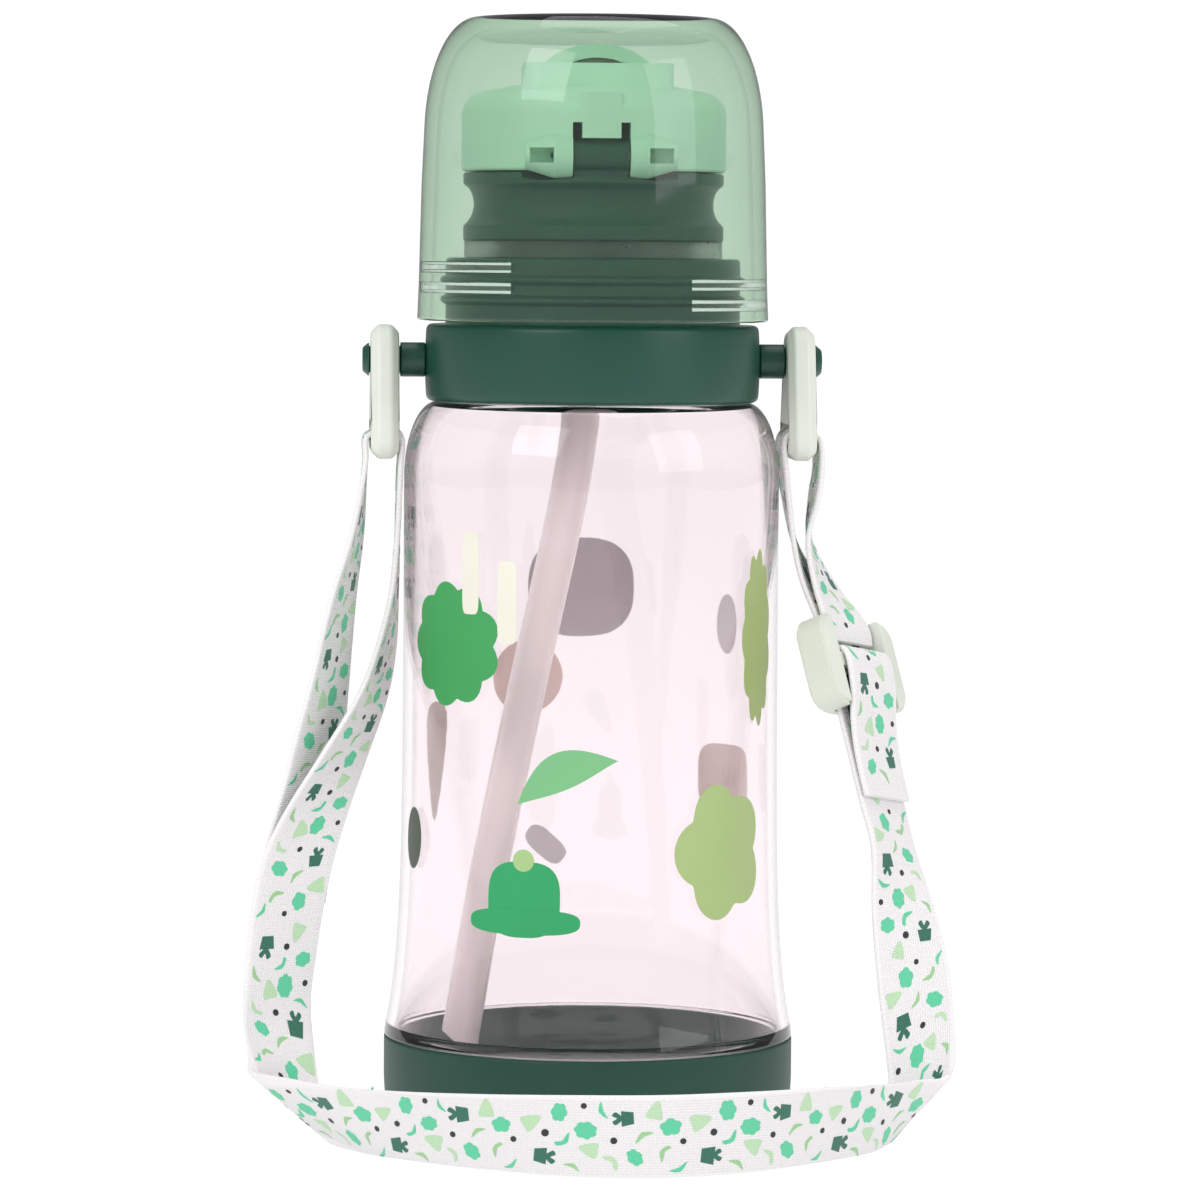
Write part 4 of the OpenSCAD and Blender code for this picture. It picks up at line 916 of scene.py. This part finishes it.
def strap_motifs(length, seed, face):
    """Small repeated motifs down a strip: leaves, buds, potted plants, dots and petals, a set every 29 mm."""
    mint, pale, deep, black, sage = "5fd0a3", "bfe0b8", "2d6f5a", "2b2b33", "9fcf96"
    pitch = 29.0
    out = []
    draw = np.random.default_rng(seed)
    for k in range(int(length / pitch) + 2):
        base = k * pitch - pitch / 2 + draw.uniform(-0.5, 0.5)
        pot = [(-1.6, 0.9), (1.6, 0.9), (1.2, -1.5), (-1.2, -1.5)]
        sprig = smooth_loop([(-0.2, 0.6), (-1.3, 2.0), (-0.6, 2.6), (0, 1.7), (0.6, 2.7), (1.3, 2.0),
                             (0.2, 0.6)], 4)
        cone = smooth_loop([(-1.5, -1.4), (-0.1, 1.9), (1.5, -1.2), (0.3, -1.6)], 5)
        petal = smooth_loop([(-1.7, -0.5), (0, 0.7), (1.7, -0.2), (0.1, -0.1)], 5)
        moon = smooth_loop([(-1.2, 1.2), (0.7, 0.9), (1.3, -0.8), (0.7, -1.3), (0.4, 0), (-0.5, 0.6)], 5)
        spots = [
            (pot, -3.6, 3.0, deep, 0), (sprig, -3.6, 3.0, deep, 0), (cone, 2.6, 1.2, pale, 20),
            (lobed(0, 0, 1.7, 1.4, 6, 0.1, 0, 36), 4.4, 6.0, mint, 0), (moon, -0.4, 6.6, mint, 0),
            (oval(0, 0, 0.65, 0.65, 0, 16), 0.6, 3.6, black, 0), (petal, -5.4, 8.4, sage, 60),
            (cone, -2.2, 11.2, pale, 160), (lobed(0, 0, 1.5, 1.9, 7, 0.1, 0.6, 36), 1.2, 10.6, mint, 0),
            (oval(0, 0, 0.55, 0.55, 0, 16), 5.6, 10.2, black, 0), (petal, 4.8, 13.4, mint, 200),
            (pot, 3.4, 17.4, deep, 180), (sprig, 3.4, 17.4, deep, 180), (moon, -4.6, 14.8, pale, 90),
            (lobed(0, 0, 1.8, 1.3, 6, 0.1, 0.3, 36), -3.6, 19.0, mint, 40), (petal, 0.2, 20.4, sage, 120),
            (oval(0, 0, 0.6, 0.6, 0, 16), -0.6, 15.4, black, 0), (cone, 4.8, 22.4, pale, 80),
            (lobed(0, 0, 1.4, 1.7, 5, 0.12, 0, 30), 1.8, 25.0, mint, 0), (moon, -3.0, 24.2, sage, 200),
            (petal, -5.6, 26.6, mint, 300), (oval(0, 0, 0.55, 0.55, 0, 16), -0.8, 27.2, black, 0)]
        for points, x, y, colour, turn in spots:
            p = np.asarray(points, float) * draw.uniform(0.86, 1.05)
            a = math.radians(turn + draw.uniform(-8, 8))
            p = p @ np.array([[math.cos(a), math.sin(a)], [-math.sin(a), math.cos(a)]])
            p = p + [face * x, base + y]
            if p[:, 1].min() > 1 and p[:, 1].max() < length - 1 and np.abs(p[:, 0]).max() < 7.2:
                out.append((p, colour, 0))
    return out


def strap_prints(name, ribbon, seed, body="strap"):
    """The motifs on both faces of one length of webbing."""
    verts, faces, uvs, inks = [], [], [], []
    start = 0
    for face in (1, -1):
        def laid(u, v, lift, face=face):
            """On one face of the strip, just clear of the cloth."""
            return ribbon.place(u, v, face * (STRAP_T / 2 + 0.015 + lift))
        v, f, uv, ink = decal(strap_motifs(ribbon.length[-1], seed + face, face), laid, 0.035, 1.0)
        flip = face > 0
        faces += [[q + start for q in (t[::-1] if flip else t)] for t in f]
        verts.append(v)
        uvs.append(uv)
        inks.append(ink)
        start += len(v)
    return add_mesh(name, np.vstack(verts), faces, STRAP_INK, body, uv=np.vstack(uvs),
                    ink=np.vstack(inks), smooth_angle=60)


# ---------------------------------------------------------------- softened copies of moulded parts


def softened(node_name, name, material, body, width):
    """A copy of a moulded CAD piece with every hard edge rounded, as it comes out of its mould."""
    mesh = frame["nodes"][node_name].data.copy()
    mesh.name = name
    bm = bmesh.new()
    bm.from_mesh(mesh)
    bmesh.ops.remove_doubles(bm, verts=bm.verts, dist=1e-6)
    bmesh.ops.dissolve_limit(bm, angle_limit=math.radians(1), verts=bm.verts, edges=bm.edges)
    bm.to_mesh(mesh)
    bm.free()
    mesh.materials.clear()
    mesh.materials.append(material)
    ob = bpy.data.objects.new(name, mesh)
    bpy.context.scene.collection.objects.link(ob)
    edge = ob.modifiers.new("edge", "BEVEL")
    edge.width, edge.segments, edge.limit_method = width * MM, 3, "ANGLE"
    edge.angle_limit = math.radians(40)
    edge.use_clamp_overlap = True
    mesh.shade_smooth()
    mesh.set_sharp_from_angle(angle=math.radians(35))
    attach(ob, body)
    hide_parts(node_name)
    return ob


def plain_nodes():
    """CAD pieces whose shape is right as it is get their finish."""
    finishes = {
        "body_seal": SILICONE, "stud_left": GREEN, "stud_right": GREEN, "drink_lid": GREEN, "lid_gasket": GASKET,
        "spout": SILICONE, "vent_valve": SILICONE, "straw_sleeve": SILICONE, "hinge_pin": STEEL, "flip_cap": MINT,
        "cap_seal": SILICONE, "cap_insert": RUBBER, "clip_left": SAGE, "clip_right": SAGE, "strap_buckle": SAGE,
        "bottle_body": CLEAR, "base_boot": BOOT, "collar": GREEN, "cup": TINTED, "straw": STRAW,
        "strap_main": WEBBING, "strap_left_end": WEBBING, "strap_right_end": WEBBING, "strap_tail": WEBBING}
    for name, material in finishes.items():
        for slot in frame["nodes"][name].material_slots:
            slot.material = material


plain_nodes()
softened("flip_cap", "cap_moulding", MINT, "flip_cap", 0.35)
softened("drink_lid", "lid_moulding", GREEN, "lid", 0.3)
softened("spout", "soft_spout", SILICONE, "lid", 0.25)
softened("clip_left", "left_clip", SAGE, "strap", 0.45)
softened("clip_right", "right_clip", SAGE, "strap", 0.45)
softened("strap_buckle", "slide_buckle", SAGE, "buckle", 0.35)
softened("stud_left", "left_stud", GREEN, "bottle", 0.3)
softened("stud_right", "right_stud", GREEN, "bottle", 0.3)
clear_body()
soft_boot()
screw_collar()
dust_cup()
drinking_straw()
main = Ribbon(MAIN_ROUTE)
left_end = Ribbon(LEFT_END_ROUTE)
right_end = Ribbon(RIGHT_END_ROUTE)
tail = Ribbon(tail_rows(), 0.5)
strap_piece("strap_webbing", main, "strap_main")
strap_piece("strap_left_webbing", left_end, "strap_left_end")
strap_piece("strap_right_webbing", right_end, "strap_right_end")
strap_piece("strap_tail_webbing", tail, "strap_tail", body="buckle")
body_prints()
strap_prints("strap_print", main, 11)
strap_prints("strap_left_print", left_end, 21)
strap_prints("strap_right_print", right_end, 31)
strap_prints("strap_tail_print", tail, 41, "buckle")
